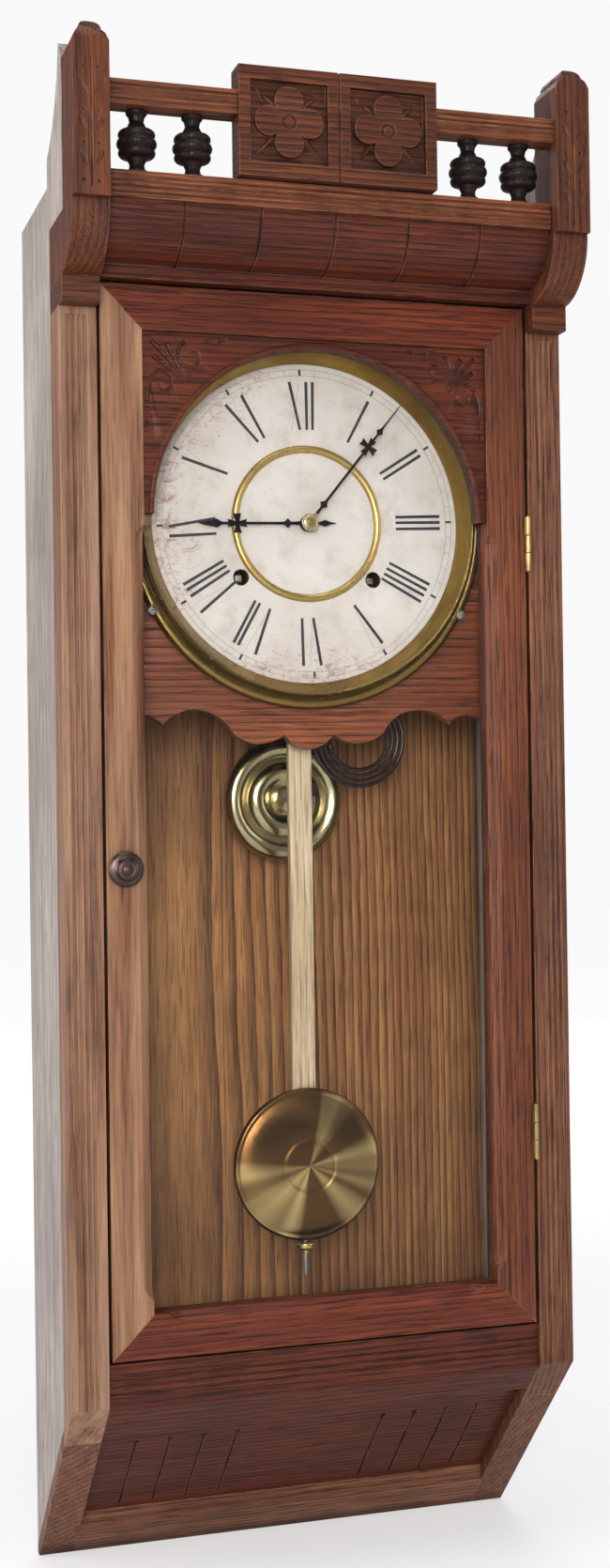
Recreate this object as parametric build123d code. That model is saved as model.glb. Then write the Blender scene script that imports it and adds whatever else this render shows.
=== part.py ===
from build123d import *
import math
import os

# Long-drop wall clock in oak. Millimetres.
# Origin: centre of the hanger plate's hole on the wall plane. +Z up, +Y into the wall, front towards -Y.

# ---- case ----
CASE_HALF = 163.5
BOARD = 12.0
INNER_HALF = CASE_HALF - BOARD
FIT = 0.1
BACK_THICK = 10.0
BACK_TOP = -17.0
CASE_FOOT = -890.0
FOOT_FLAT = 6.0
SIDE_FRONT = -104.0
PILASTER_FRONT = -132.0
PILASTER_INNER = 140.5
SLOPE_START_Z = -760.0
STRIP_PROUD = 8.0
PANEL_THICK = 8.0
CAPITAL_Z = (-97.0, -81.3)
CAPITAL_FRONT = -143.5
BRACKET_TOP = -44.5
BRACKET_FRONT = -177.5
POST_FRONT = -183.0
POST_BACK = -149.0
POST_INNER = 141.0
POST_OUTER = 163.0
POST_SHOULDER = 45.5
POST_TOP = 59.0
LOW_RAIL_Z = (-41.3, -25.6)
LOW_RAIL_FRONT = -173.6
TOP_RAIL_Z = (11.4, 25.9)
TOP_RAIL_FRONT = -178.3
GALLERY_DEPTH = 15.0
SPINDLE_X = (88.0, 121.8)
SPINDLE_Y = -166.0
BLOCK_HALF = 62.6
BLOCK_Z = (-24.6, 41.1)
BLOCK_FRONT = -179.7
BLOCK_BACK = -163.0
CORNICE_GROOVES = (-94.0, -47.0, 0.0, 47.0, 94.0)
DOOR_SILL_Z = -735.0

# ---- door ----
DOOR_HALF = 138.3
DOOR_FRONT = -131.3
DOOR_BACK = -113.3
DOOR_TOP = -81.5
DOOR_BOTTOM = -733.0
STILE = 26.0
TOP_RAIL = 27.0
BOTTOM_RAIL = 26.5
WINDOW_HALF = DOOR_HALF - STILE
WINDOW_TOP = DOOR_TOP - TOP_RAIL
WINDOW_BOTTOM = DOOR_BOTTOM + BOTTOM_RAIL
REBATE = 4.6
GLASS_FRONT = -119.3
GLASS_BACK = -117.3
ARCH_RADIUS = 105.5
CHAMFER = 6.0
KNOB_X = -126.5
KNOB_Z = -436.5
HINGE_X = 139.4
HINGE_Y = -133.8
HINGE_Z = (-233.3, -610.6)
HINGE_LENGTH = 35.0

# ---- dial and hands ----
DIAL_Z = -220.0
DIAL_RADIUS = 101.6
DIAL_BOARD_FRONT = -101.5
DIAL_BOARD_THICK = 10.0
DIAL_FACE = -102.5
WIND_X = 44.0
WIND_Z = -255.0
WIND_HOLE = 5.2
MINUTE_ANGLE = 38.8
HOUR_ANGLE = 268.5

# ---- movement ----
FRONT_PLATE = (-62.0, -60.0)
BACK_PLATE = (-24.0, -22.0)
PIVOT_Z = -192.0
PENDULUM_Y = -78.0
BOB_Z = -630.7
BOB_RADIUS = 49.0
RUN = 0.05

# ---- gong ----
GONG_X = 3.8
GONG_Z = -395.8
COIL_X = 48.8
COIL_Z = -355.7
COIL_Y = -50.0
WIRE = 1.3

os.makedirs("parts", exist_ok=True)


# ---------------------------------------------------------------- helpers
def write(shape, name):
    export_step(shape, "parts/" + name + ".step")


def group(*solids):
    return Compound(children=list(solids))


def block(x0, x1, y0, y1, z0, z1):
    place = Pos((x0 + x1) / 2, (y0 + y1) / 2, (z0 + z1) / 2)
    return place * Box(abs(x1 - x0), abs(y1 - y0), abs(z1 - z0))


def across(points, x0, x1):
    """Outline in (y, z), run along X."""
    return extrude(Plane.YZ.offset(x0) * make_face(Polyline(*points, close=True)), x1 - x0)


def deep(face, y0, y1):
    """Flat outline drawn in (x, z), run along Y."""
    return extrude(Plane.XZ.offset(-y1) * face, y1 - y0)


def outline(points):
    return make_face(Polyline(*points, close=True))


def rod_y(x, z, radius, y0, y1):
    return deep(Pos(x, z) * Circle(radius), y0, y1)


def rod_z(x, y, radius, z0, z1):
    return Pos(x, y, (z0 + z1) / 2) * Cylinder(radius, z1 - z0)


def ring_y(x, z, outer, inner, y0, y1):
    return deep(Pos(x, z) * (Circle(outer) - Circle(inner)), y0, y1)


def turned_y(edges, x, z):
    """Turned about an axis along Y. The edges are drawn as (radius, y)."""
    return Pos(x, 0, z) * revolve(make_face(edges), Axis.Y)


def turned_z(edges, x, y):
    """Turned about an upright axis. The edges are drawn as (radius, z)."""
    profile = Plane.XZ * make_face(edges)
    return Pos(x, y, 0) * revolve(profile, Axis.Z)


def mirrored(shape):
    return mirror(shape, Plane.YZ)


def polar(x, z, radius, degrees):
    angle = math.radians(degrees)
    return x + radius * math.cos(angle), z + radius * math.sin(angle)


def round_edges(shape, edges, radius):
    """Eases the edges, and leaves them sharp where a fillet can't be made."""
    try:
        eased = fillet(edges, radius)
    except Exception:
        return shape
    if not eased.is_valid:
        return shape
    return eased


# ---------------------------------------------------------------- case slope
SLOPE_RUN = -FOOT_FLAT - PILASTER_FRONT
SLOPE_FALL = SLOPE_START_Z - CASE_FOOT
SLOPE_LENGTH = math.hypot(SLOPE_RUN, SLOPE_FALL)


def slope_z(y, inset=0.0):
    """Height of the sloping underside at depth y, moved inwards by an inset."""
    return SLOPE_START_Z - (y - PILASTER_FRONT) * SLOPE_FALL / SLOPE_RUN + inset * SLOPE_LENGTH / SLOPE_RUN


def slope_point(distance, inset):
    """Point on the slope, measured along it from its upper front edge."""
    along_y = SLOPE_RUN / SLOPE_LENGTH
    along_z = -SLOPE_FALL / SLOPE_LENGTH
    y = PILASTER_FRONT + distance * along_y - inset * along_z
    z = SLOPE_START_Z + distance * along_z + inset * along_y
    return y, z


# ---------------------------------------------------------------- side boards
EAR_BACK = -98.0
EAR_STEP = -134.0
EAR_TOP = 57.0
EAR_TOP_BACK = -141.0


def side_board():
    ear = [
        Polyline(
            (0, BACK_TOP), (0, slope_z(0, STRIP_PROUD)), (SIDE_FRONT, slope_z(SIDE_FRONT, STRIP_PROUD)),
            (SIDE_FRONT, BRACKET_TOP), (POST_BACK, BRACKET_TOP), (POST_BACK, POST_SHOULDER),
            (EAR_TOP_BACK, EAR_TOP), (EAR_STEP - 2, 38), (EAR_STEP, 36),
        ),
        ThreePointArc((EAR_STEP, 36), (-119.5, 15.5), (-104, 3.5)),
        ThreePointArc((-104, 3.5), (-99.6, 1.0), (EAR_BACK, -3.5)),
        Polyline((EAR_BACK, -3.5), (EAR_BACK, BACK_TOP), (0, BACK_TOP)),
    ]
    face = make_face([edge for line in ear for edge in line.edges()])
    return extrude(Plane.YZ.offset(INNER_HALF) * face, BOARD)


right_side = side_board()
write(right_side, "side_board_right")
write(mirrored(right_side), "side_board_left")

# ---------------------------------------------------------------- back boards and hanger
HANGER_HALF = 19.0
HANGER_THICK = 2.0
HANGER_Z = (-62.0, 13.0)
HANGER_HOLE = 4.0
HANGER_SCREWS = ((-12.0, -56.0), (12.0, -56.0), (-12.0, -44.0), (12.0, -44.0))
BACK_JOINT_X = -35.0
SCREW_R = 1.8


def back_board(x0, x1):
    points = [(-BACK_THICK, BACK_TOP), (0, BACK_TOP), (0, slope_z(0, STRIP_PROUD)),
              (-BACK_THICK, slope_z(-BACK_THICK, STRIP_PROUD))]
    board = across(points, x0, x1)
    board -= block(-HANGER_HALF, HANGER_HALF, -HANGER_THICK, 1, HANGER_Z[0], 20)
    for x, z in HANGER_SCREWS:
        board -= rod_y(x, z, SCREW_R, -BACK_THICK, 0)
    return board


write(group(back_board(-INNER_HALF + FIT, BACK_JOINT_X), back_board(BACK_JOINT_X + 0.4, INNER_HALF - FIT)),
      "back_boards")

plate_face = outline([(-HANGER_HALF, HANGER_Z[0]), (HANGER_HALF, HANGER_Z[0]),
                      (HANGER_HALF, HANGER_Z[1] - 8), (HANGER_HALF - 8, HANGER_Z[1]),
                      (8 - HANGER_HALF, HANGER_Z[1]), (-HANGER_HALF, HANGER_Z[1] - 8)])
plate_face -= Circle(HANGER_HOLE)
for x, z in HANGER_SCREWS:
    plate_face -= Pos(x, z) * Circle(SCREW_R)
write(deep(plate_face, -HANGER_THICK, 0), "hanger_plate")


def wood_screw(x, z):
    """Flat-headed screw through the back board and the plate, head on the inside."""
    edges = Polyline((0, -BACK_THICK - 1.6), (3.4, -BACK_THICK - 1.2), (3.4, -BACK_THICK - 0.05),
                     (SCREW_R - FIT, -BACK_THICK - 0.05), (SCREW_R - FIT, -0.3), (0, -0.3), close=True)
    return turned_y(edges, x, z)


write(group(*[wood_screw(x, z) for x, z in HANGER_SCREWS]), "hanger_screws")

# ---------------------------------------------------------------- case top board
write(block(-INNER_HALF + FIT, INNER_HALF - FIT, -118, -BACK_THICK, -37.6, -25.6), "case_top_board")

# ---------------------------------------------------------------- pilasters
GROOVE_R = 1.2
FLUTES_X = (147.6, 151.1, 154.6, 158.1)


def pilaster():
    points = [(PILASTER_FRONT, CAPITAL_Z[0]), (SIDE_FRONT, CAPITAL_Z[0]),
              (SIDE_FRONT, slope_z(SIDE_FRONT)), (PILASTER_FRONT, SLOPE_START_Z)]
    body = across(points, PILASTER_INNER, CASE_HALF)
    length = SLOPE_START_Z - 8 - CAPITAL_Z[0]
    for x in FLUTES_X:
        body -= rod_z(x, PILASTER_FRONT - 0.3, GROOVE_R, CAPITAL_Z[0] + length, CAPITAL_Z[0] - 5)
    return body


right_pilaster = pilaster()
LATCH_SLOT = block(-147.5, -PILASTER_INNER + 1, -113.4, -109.6, KNOB_Z - 17, KNOB_Z + 7)
write(group(right_pilaster, mirrored(right_pilaster) - LATCH_SLOT), "pilasters")

# ---------------------------------------------------------------- capitals and brackets
capital = block(PILASTER_INNER, CASE_HALF, CAPITAL_FRONT, SIDE_FRONT, *CAPITAL_Z)
write(group(capital, mirrored(capital)), "capital_blocks")


def bracket():
    radius_y = CAPITAL_FRONT - BRACKET_FRONT
    radius_z = BRACKET_TOP - CAPITAL_Z[1]
    corner = math.sqrt(0.5)
    middle = (CAPITAL_FRONT - radius_y * corner, BRACKET_TOP - radius_z * corner)
    arc = ThreePointArc((CAPITAL_FRONT, CAPITAL_Z[1]), middle, (BRACKET_FRONT, BRACKET_TOP))
    rest = Polyline((BRACKET_FRONT, BRACKET_TOP), (SIDE_FRONT, BRACKET_TOP), (SIDE_FRONT, CAPITAL_Z[1]),
                    (CAPITAL_FRONT, CAPITAL_Z[1]))
    face = make_face(arc.edges() + rest.edges())
    body = extrude(Plane.YZ.offset(PILASTER_INNER) * face, CASE_HALF - PILASTER_INNER)
    # incised oblong that follows the round front
    centre_y = CAPITAL_FRONT - 2.6
    centre_z = BRACKET_TOP - 2.4
    shell = Pos(0, centre_y, centre_z) * Rot(0, 90, 0) * Cylinder(34.0, 60)
    core = Pos(0, centre_y, centre_z) * Rot(0, 90, 0) * Cylinder(29.6, 60)
    x_mid = (PILASTER_INNER + CASE_HALF) / 2
    frame = block(x_mid - 5.5, x_mid + 5.5, -190, -150, -73, -50)
    frame -= block(x_mid - 3.9, x_mid + 3.9, -190, -150, -71.4, -51.6)
    return body - (frame & shell - core)


right_bracket = bracket()
write(group(right_bracket, mirrored(right_bracket)), "cornice_brackets")

# ---------------------------------------------------------------- gallery posts
LEAF_DROPS = (27.5, 49.0, 68.0)
DOT_DROPS = (16.0, 41.0, 60.0, 82.0)


def gallery_post():
    x_mid = (POST_INNER + POST_OUTER) / 2
    half = (POST_OUTER - POST_INNER) / 2
    lobe = 6.5
    front = [
        Polyline((x_mid - half, BRACKET_TOP), (x_mid + half, BRACKET_TOP), (x_mid + half, POST_SHOULDER),
                 (x_mid + half - 2.2, POST_SHOULDER + 4.6), (x_mid + lobe, POST_SHOULDER + 6.5)),
        ThreePointArc((x_mid + lobe, POST_SHOULDER + 6.5), (x_mid, POST_TOP), (x_mid - lobe, POST_SHOULDER + 6.5)),
        Polyline((x_mid - lobe, POST_SHOULDER + 6.5), (x_mid - half + 2.2, POST_SHOULDER + 4.6),
                 (x_mid - half, POST_SHOULDER), (x_mid - half, BRACKET_TOP)),
    ]
    front_face = make_face([edge for line in front for edge in line.edges()])
    body = deep(front_face, POST_FRONT, POST_BACK)
    y_mid = (POST_FRONT + POST_BACK) / 2
    side = [
        Polyline((POST_BACK, BRACKET_TOP), (POST_FRONT, BRACKET_TOP), (POST_FRONT, POST_SHOULDER)),
        ThreePointArc((POST_FRONT, POST_SHOULDER), (POST_FRONT + 3.6, POST_SHOULDER + 9.5), (y_mid, POST_TOP + 1)),
        Polyline((y_mid, POST_TOP + 1), (POST_BACK, POST_TOP + 1), (POST_BACK, BRACKET_TOP)),
    ]
    side_face = make_face([edge for line in side for edge in line.edges()])
    body = body & extrude(Plane.YZ.offset(POST_INNER - 5) * side_face, 40)
    # incised stem, leaves and dots
    body -= block(x_mid - 0.5, x_mid + 0.5, POST_FRONT - 1, POST_FRONT + 0.8, POST_SHOULDER - 86, POST_SHOULDER - 10)
    for drop in LEAF_DROPS:
        for side_sign in (-1, 1):
            leaf = Pos(x_mid + side_sign * 5.2, POST_FRONT, POST_SHOULDER - drop)
            leaf = leaf * Rot(0, side_sign * 28, 0) * scale(Sphere(1.0), (1.5, 1.0, 6.0))
            body -= leaf
    for drop in DOT_DROPS:
        for side_sign in (-1, 1):
            body -= Pos(x_mid + side_sign * 4.4, POST_FRONT - 0.3, POST_SHOULDER - drop) * Sphere(1.3)
    return body


right_post = gallery_post()
write(group(right_post, mirrored(right_post)), "gallery_posts")


# ---------------------------------------------------------------- gallery rails
def reeded_rail(front, depth, z0, z1, half, reeds):
    """Rail with rounded reeds along its front."""
    body = block(-half, half, front, front + depth, z0, z1)
    pitch = (z1 - z0) / (reeds + 1)
    for i in range(1, reeds + 1):
        body -= Pos(0, front - 0.3, z0 + i * pitch) * Rot(0, 90, 0) * Cylinder(1.1, 2 * half + 2)
    return body


write(reeded_rail(LOW_RAIL_FRONT, LOW_RAIL_FRONT * -1 - 118, *LOW_RAIL_Z, PILASTER_INNER - FIT, 4),
      "gallery_rail_lower")


def top_rail():
    body = reeded_rail(TOP_RAIL_FRONT, GALLERY_DEPTH, *TOP_RAIL_Z, POST_INNER - FIT, 4)
    return body - block(-BLOCK_HALF - FIT, BLOCK_HALF + FIT, -200, -150, 0, 50)


write(group(*top_rail().solids()), "gallery_rail_upper")

# ---------------------------------------------------------------- gallery spindles
SPINDLE_Z = (LOW_RAIL_Z[1], TOP_RAIL_Z[0])


def spindle(x):
    z0, z1 = SPINDLE_Z
    middle = z0 + 17.5
    lines = [
        Polyline((0, z1), (6.4, z1), (6.4, z1 - 1.8), (4.9, z1 - 3.6), (4.3, z1 - 6.5), (6.5, middle + 8.4),
                 (8.6, middle + 8.0)),
        ThreePointArc((8.6, middle + 8.0), (11.1, middle + 5.6), (9.9, middle + 3.2)),
        ThreePointArc((9.9, middle + 3.2), (12.0, middle), (9.9, middle - 3.2)),
        ThreePointArc((9.9, middle - 3.2), (11.1, middle - 5.6), (8.6, middle - 8.0)),
        Polyline((8.6, middle - 8.0), (6.0, middle - 8.8), (4.4, middle - 12.4), (4.9, z0 + 2.6), (6.4, z0 + 1.4),
                 (6.4, z0), (0, z0), (0, z1)),
    ]
    return turned_z([edge for line in lines for edge in line.edges()], x, SPINDLE_Y)


write(group(*[spindle(sign * x) for x in SPINDLE_X for sign in (-1, 1)]), "gallery_spindles")

# ---------------------------------------------------------------- flower block
RECESS = 48.4
RECESS_DEPTH = 4.6
PETAL_R = 9.0
PETAL_REACH = 12.5


def flower(x, z):
    """Raised four-petal flower with a ringed centre and four ridged corner leaves."""
    petals = Circle(9.5)
    for turn in range(4):
        px, pz = polar(0, 0, PETAL_REACH, 90 * turn)
        petals += Pos(px, pz) * Circle(PETAL_R)
    body = Pos(x, 0, z) * deep(petals, BLOCK_FRONT + 0.4, BLOCK_FRONT + RECESS_DEPTH + 1)
    body -= Pos(x, 0, z) * deep(Circle(4.8) - Circle(2.6), BLOCK_FRONT - 1, BLOCK_FRONT + 1.6)
    for turn in range(4):
        tx, tz = polar(x, z, 21.0 * math.sqrt(2), 45 + 90 * turn)
        ax, az = polar(x, z, 10.0, 45 + 90 * turn + 38)
        bx, bz = polar(x, z, 10.0, 45 + 90 * turn - 38)
        hx, hz = polar(x, z, 15.0, 45 + 90 * turn)
        low = BLOCK_FRONT + RECESS_DEPTH + 0.6
        tip = Vector(tx, low, tz)
        left = Vector(ax, low, az)
        right = Vector(bx, low, bz)
        top = Vector(hx, BLOCK_FRONT + 0.9, hz)
        faces = [make_face(Polyline(*corners, close=True)) for corners in
                 ((tip, left, right), (tip, left, top), (left, right, top), (right, tip, top))]
        body += Solid(Shell(faces))
    return body


def flower_block():
    body = block(-BLOCK_HALF, BLOCK_HALF, BLOCK_FRONT, BLOCK_BACK, *BLOCK_Z)
    body -= block(-0.7, 0.7, BLOCK_FRONT - 1, BLOCK_FRONT + 1.4, *BLOCK_Z)
    for sign in (-1, 1):
        x_mid = sign * BLOCK_HALF / 2
        z_mid = (BLOCK_Z[0] + BLOCK_Z[1]) / 2 + 0.8
        body -= block(x_mid - RECESS / 2, x_mid + RECESS / 2, BLOCK_FRONT - 1, BLOCK_FRONT + RECESS_DEPTH,
                      z_mid - RECESS / 2 - 0.8, z_mid + RECESS / 2)
        body += flower(x_mid, z_mid)
    return body


write(flower_block(), "flower_block")

# ---------------------------------------------------------------- cornice
CORNICE_Z = (-72.0, -41.3)
CORNICE_BACK = -118.0
CORNICE_GROOVE_HALF = 0.8
CORNICE_GROOVE_DEEP = 1.5
FILLET_Z = (-80.0, -72.0)
FILLET_FRONT = -140.0


def cornice():
    low = (FILLET_FRONT + 1.5, CORNICE_Z[0])
    high = (-171.0, CORNICE_Z[1])
    corner = math.sqrt(0.5)
    radius_y = low[0] - high[0]
    radius_z = high[1] - low[1]
    middle = (low[0] - radius_y * corner, high[1] - radius_z * corner)
    arc = ThreePointArc(low, middle, high)
    rest = Polyline(high, (CORNICE_BACK, high[1]), (CORNICE_BACK, low[1]), low)
    face = make_face(arc.edges() + rest.edges())
    half = PILASTER_INNER - FIT
    body = extrude(Plane.YZ.offset(-half) * face, 2 * half)
    centre = arc.edge().arc_center
    radius = arc.edge().radius
    for x in CORNICE_GROOVES:
        plane = Plane.YZ.offset(x - CORNICE_GROOVE_HALF) * Pos(centre.X, centre.Y)
        ring = extrude(plane * (Circle(radius + 2.0) - Circle(radius - CORNICE_GROOVE_DEEP)), 2 * CORNICE_GROOVE_HALF)
        body -= ring & block(x - 2, x + 2, -190, low[0], CORNICE_Z[0] - 5, CORNICE_Z[1] + 5)
    return body


fillet_strip = block(-PILASTER_INNER + FIT, PILASTER_INNER - FIT, FILLET_FRONT, CORNICE_BACK, *FILLET_Z)
write(group(cornice(), fillet_strip), "cornice")

# ---------------------------------------------------------------- rail below the door and the apron
SILL_FRONT = -129.0
SILL_BACK = -112.0


def sill_rail():
    half = PILASTER_INNER - FIT
    points = [(SILL_FRONT, DOOR_SILL_Z), (SILL_BACK, DOOR_SILL_Z), (SILL_BACK, slope_z(SILL_BACK)),
              (SILL_FRONT, slope_z(SILL_FRONT))]
    body = across(points, -half, half)
    for z in (-744.0, -748.5, -753.0):
        body -= Pos(0, SILL_FRONT - 0.3, z) * Rot(0, 90, 0) * Cylinder(1.2, 2 * half + 2)
    return body


write(sill_rail(), "lower_rail")

LINES_X = (49.0, 71.0, 93.0, 115.0)
LINES_ALONG = (61.0, 138.0)


def apron_panel():
    top_y = SILL_BACK + FIT
    outer_top = (top_y, slope_z(top_y, STRIP_PROUD))
    inner_low = (-BACK_THICK - FIT, slope_z(-BACK_THICK - FIT, STRIP_PROUD))
    inner_top = (top_y, slope_z(top_y, STRIP_PROUD + PANEL_THICK))
    inner_back = (-BACK_THICK - FIT, slope_z(-BACK_THICK - FIT, STRIP_PROUD + PANEL_THICK))
    half = INNER_HALF - FIT
    body = across([outer_top, inner_low, inner_back, inner_top], -half, half)
    for sign in (-1, 1):
        body -= block(sign * (PILASTER_INNER - FIT), sign * (half + 1), top_y - 1, SIDE_FRONT + FIT, -800, -700)
    for x in LINES_X:
        for sign in (-1, 1):
            start = slope_point(LINES_ALONG[0], STRIP_PROUD - 1)
            end = slope_point(LINES_ALONG[1], STRIP_PROUD - 1)
            start_in = slope_point(LINES_ALONG[0], STRIP_PROUD + 1.3)
            end_in = slope_point(LINES_ALONG[1], STRIP_PROUD + 1.3)
            body -= across([start, end, end_in, start_in], sign * x - 0.7, sign * x + 0.7)
            tip_in = slope_point(LINES_ALONG[0] - 4, STRIP_PROUD + 1.0)
            tip = slope_point(LINES_ALONG[0] - 4, STRIP_PROUD - 1)
            body -= across([tip, start, start_in, tip_in], sign * x - 1.6, sign * x + 1.6)
    return body


write(apron_panel(), "apron_panel")

BOTTOM_STRIP = 30.0


def slope_strip(x0, x1, from_y):
    """Strip that lies on the slope, from a given depth to the foot."""
    points = [(from_y, slope_z(from_y)), (-FOOT_FLAT, CASE_FOOT), (0, CASE_FOOT),
              (0, slope_z(0, STRIP_PROUD)), (from_y, slope_z(from_y, STRIP_PROUD))]
    return across(points, x0, x1)


side_strip = slope_strip(PILASTER_INNER, CASE_HALF, SIDE_FRONT)
write(group(side_strip, mirrored(side_strip)), "apron_side_strips")
strip_start = slope_point(SLOPE_LENGTH - BOTTOM_STRIP, 0)[0]
write(slope_strip(-PILASTER_INNER + FIT, PILASTER_INNER - FIT, strip_start), "apron_bottom_rail")


# ---------------------------------------------------------------- door frame
def stopped_chamfer(edge_point, along, outward, start, end, depth, run):
    """Cutter for a chamfer along an edge that runs out in a curve at both ends."""
    inward = Vector(*outward) * -1
    side = Vector(*along).cross(inward)
    plane = Plane(origin=edge_point, x_dir=along, z_dir=side)
    lines = [
        ThreePointArc((start, 0), (start + run * 0.45, depth * 0.72), (start + run, depth)),
        Line((start + run, depth), (end - run, depth)),
        ThreePointArc((end - run, depth), (end - run * 0.45, depth * 0.72), (end, 0)),
        Polyline((end, 0), (end, -8), (start, -8), (start, 0)),
    ]
    face = make_face([edge for line in lines for edge in line.edges()])
    return extrude(plane * face, 12, both=True)


REBATE_CUT = block(-WINDOW_HALF - REBATE, WINDOW_HALF + REBATE, GLASS_FRONT - 0.1, DOOR_BACK + 1,
                   WINDOW_BOTTOM - REBATE, WINDOW_TOP + REBATE)
CHAMFER_DEPTH = CHAMFER / math.sqrt(2)


def door_stile(sign):
    points = [(sign * DOOR_HALF, DOOR_BOTTOM), (sign * WINDOW_HALF, WINDOW_BOTTOM),
              (sign * WINDOW_HALF, WINDOW_TOP), (sign * DOOR_HALF, DOOR_TOP)]
    body = deep(outline(points), DOOR_FRONT, DOOR_BACK) - REBATE_CUT
    body -= stopped_chamfer((sign * WINDOW_HALF, DOOR_FRONT, 0), (0, 0, 1), (-sign * 0.7071, -0.7071, 0),
                            WINDOW_BOTTOM + 9, DIAL_Z - 7, CHAMFER_DEPTH, 9)
    return body


left_stile = door_stile(-1) - rod_y(KNOB_X, KNOB_Z, 3.3, DOOR_FRONT - 1, DOOR_BACK + 1)
write(group(left_stile, door_stile(1)), "door_stiles")


def door_rail(outer, inner, with_chamfer):
    points = [(-DOOR_HALF, outer), (DOOR_HALF, outer), (WINDOW_HALF, inner), (-WINDOW_HALF, inner)]
    body = deep(outline(points), DOOR_FRONT, DOOR_BACK) - REBATE_CUT
    if with_chamfer:
        body -= stopped_chamfer((0, DOOR_FRONT, inner), (1, 0, 0), (0, -0.7071, 0.7071),
                                -WINDOW_HALF + 9, WINDOW_HALF - 9, CHAMFER_DEPTH, 9)
    return body


write(group(door_rail(DOOR_TOP, WINDOW_TOP, False), door_rail(DOOR_BOTTOM, WINDOW_BOTTOM, True)), "door_rails")

# ---------------------------------------------------------------- carved spandrel
SPANDREL_FRONT = -128.6
SPANDREL_BACK = -120.2


def spandrel():
    half = WINDOW_HALF - FIT
    flat = outline([(-half, DIAL_Z), (half, DIAL_Z), (half, WINDOW_TOP - FIT), (-half, WINDOW_TOP - FIT)])
    body = deep(flat, SPANDREL_FRONT, SPANDREL_BACK)
    body -= rod_y(0, DIAL_Z, ARCH_RADIUS, SPANDREL_FRONT - 1, SPANDREL_BACK + 1)
    roll = turned_y(Polyline((ARCH_RADIUS, SPANDREL_FRONT + 2), (ARCH_RADIUS, SPANDREL_FRONT - 0.6),
                             (ARCH_RADIUS + 1, SPANDREL_FRONT - 1.6), (ARCH_RADIUS + 2.6, SPANDREL_FRONT - 1.6),
                             (ARCH_RADIUS + 3.6, SPANDREL_FRONT - 0.6), (ARCH_RADIUS + 3.6, SPANDREL_FRONT + 2),
                             close=True), 0, DIAL_Z)
    body += roll & block(-half, half, -140, -100, DIAL_Z, WINDOW_TOP - FIT)
    return body


write(spandrel(), "door_spandrel")

glass = block(-WINDOW_HALF - REBATE + 0.3, WINDOW_HALF + REBATE - 0.3, GLASS_FRONT, GLASS_BACK,
              WINDOW_BOTTOM - REBATE + 0.3, WINDOW_TOP + REBATE - 0.3)
write(glass, "door_glass")

bead_side = block(WINDOW_HALF + FIT, WINDOW_HALF + REBATE - FIT, GLASS_BACK + FIT, DOOR_BACK,
                  WINDOW_BOTTOM - REBATE + FIT, WINDOW_TOP + REBATE - FIT)
bead_low = block(-WINDOW_HALF, WINDOW_HALF, GLASS_BACK + FIT, DOOR_BACK,
                 WINDOW_BOTTOM - REBATE + FIT, WINDOW_BOTTOM - FIT)
bead_high = block(-WINDOW_HALF, WINDOW_HALF, GLASS_BACK + FIT, DOOR_BACK,
                  WINDOW_TOP + FIT, WINDOW_TOP + REBATE - FIT)
write(group(bead_side, mirrored(bead_side), bead_low, bead_high), "door_glass_beads")

# ---------------------------------------------------------------- knob and its latch tongue
KNOB_R = 10.7
KNOB_BASE = DOOR_FRONT - 0.2


def knob():
    lines = Polyline((0, KNOB_BASE - 9.8), (2.2, KNOB_BASE - 9.6), (3.0, KNOB_BASE - 8.7), (4.6, KNOB_BASE - 8.9),
                     (6.3, KNOB_BASE - 8.2), (6.9, KNOB_BASE - 6.8), (6.2, KNOB_BASE - 4.9), (7.6, KNOB_BASE - 3.6),
                     (9.4, KNOB_BASE - 3.3), (KNOB_R, KNOB_BASE - 2.2), (KNOB_R, KNOB_BASE), (3.0, KNOB_BASE),
                     (3.0, DOOR_BACK + 0.6), (0, DOOR_BACK + 0.6), close=True)
    return turned_y(lines, KNOB_X, KNOB_Z)


TONGUE_Y = (DOOR_BACK + 0.6, DOOR_BACK + 3.0)
tongue = block(KNOB_X - 5, KNOB_X + 5, *TONGUE_Y, KNOB_Z - 20, KNOB_Z + 5)
write(group(knob(), tongue), "door_knob_and_tongue")

# ---------------------------------------------------------------- hinges
BARREL_R = 1.7
PIN_R = 0.8
LEAF = 0.9
LEAF_BACK = -118.0
KNUCKLE = HINGE_LENGTH / 3


def hinge_leaf(x0, x1, z_mid, knuckles):
    """Leaf with its knuckles. Knuckles are (low, high) measured from the hinge's middle."""
    neck_y = HINGE_Y + 1.4
    body = block(x0, x1, DOOR_FRONT, LEAF_BACK, z_mid - HINGE_LENGTH / 2, z_mid + HINGE_LENGTH / 2)
    for low, high in knuckles:
        body += block(x0, x1, neck_y, DOOR_FRONT, z_mid + low, z_mid + high)
        barrel = rod_z(HINGE_X, HINGE_Y, BARREL_R, z_mid + low, z_mid + high)
        body += barrel
        body -= rod_z(HINGE_X, HINGE_Y, PIN_R + RUN, z_mid + low - 1, z_mid + high + 1)
    return body


MIDDLE = ((-KNUCKLE / 2 + 0.3, KNUCKLE / 2 - 0.3),)
OUTER = ((-HINGE_LENGTH / 2, -KNUCKLE / 2), (KNUCKLE / 2, HINGE_LENGTH / 2))
write(group(*[hinge_leaf(DOOR_HALF, DOOR_HALF + LEAF, z, MIDDLE) for z in HINGE_Z]), "hinge_leaves_door")
case_leaves = [hinge_leaf(PILASTER_INNER - LEAF, PILASTER_INNER, z, OUTER) for z in HINGE_Z]
pins = [rod_z(HINGE_X, HINGE_Y, PIN_R, z - HINGE_LENGTH / 2 - 0.8, z + HINGE_LENGTH / 2 + 0.8) for z in HINGE_Z]
write(group(*case_leaves, *pins), "hinge_leaves_case_and_pins")

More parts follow.
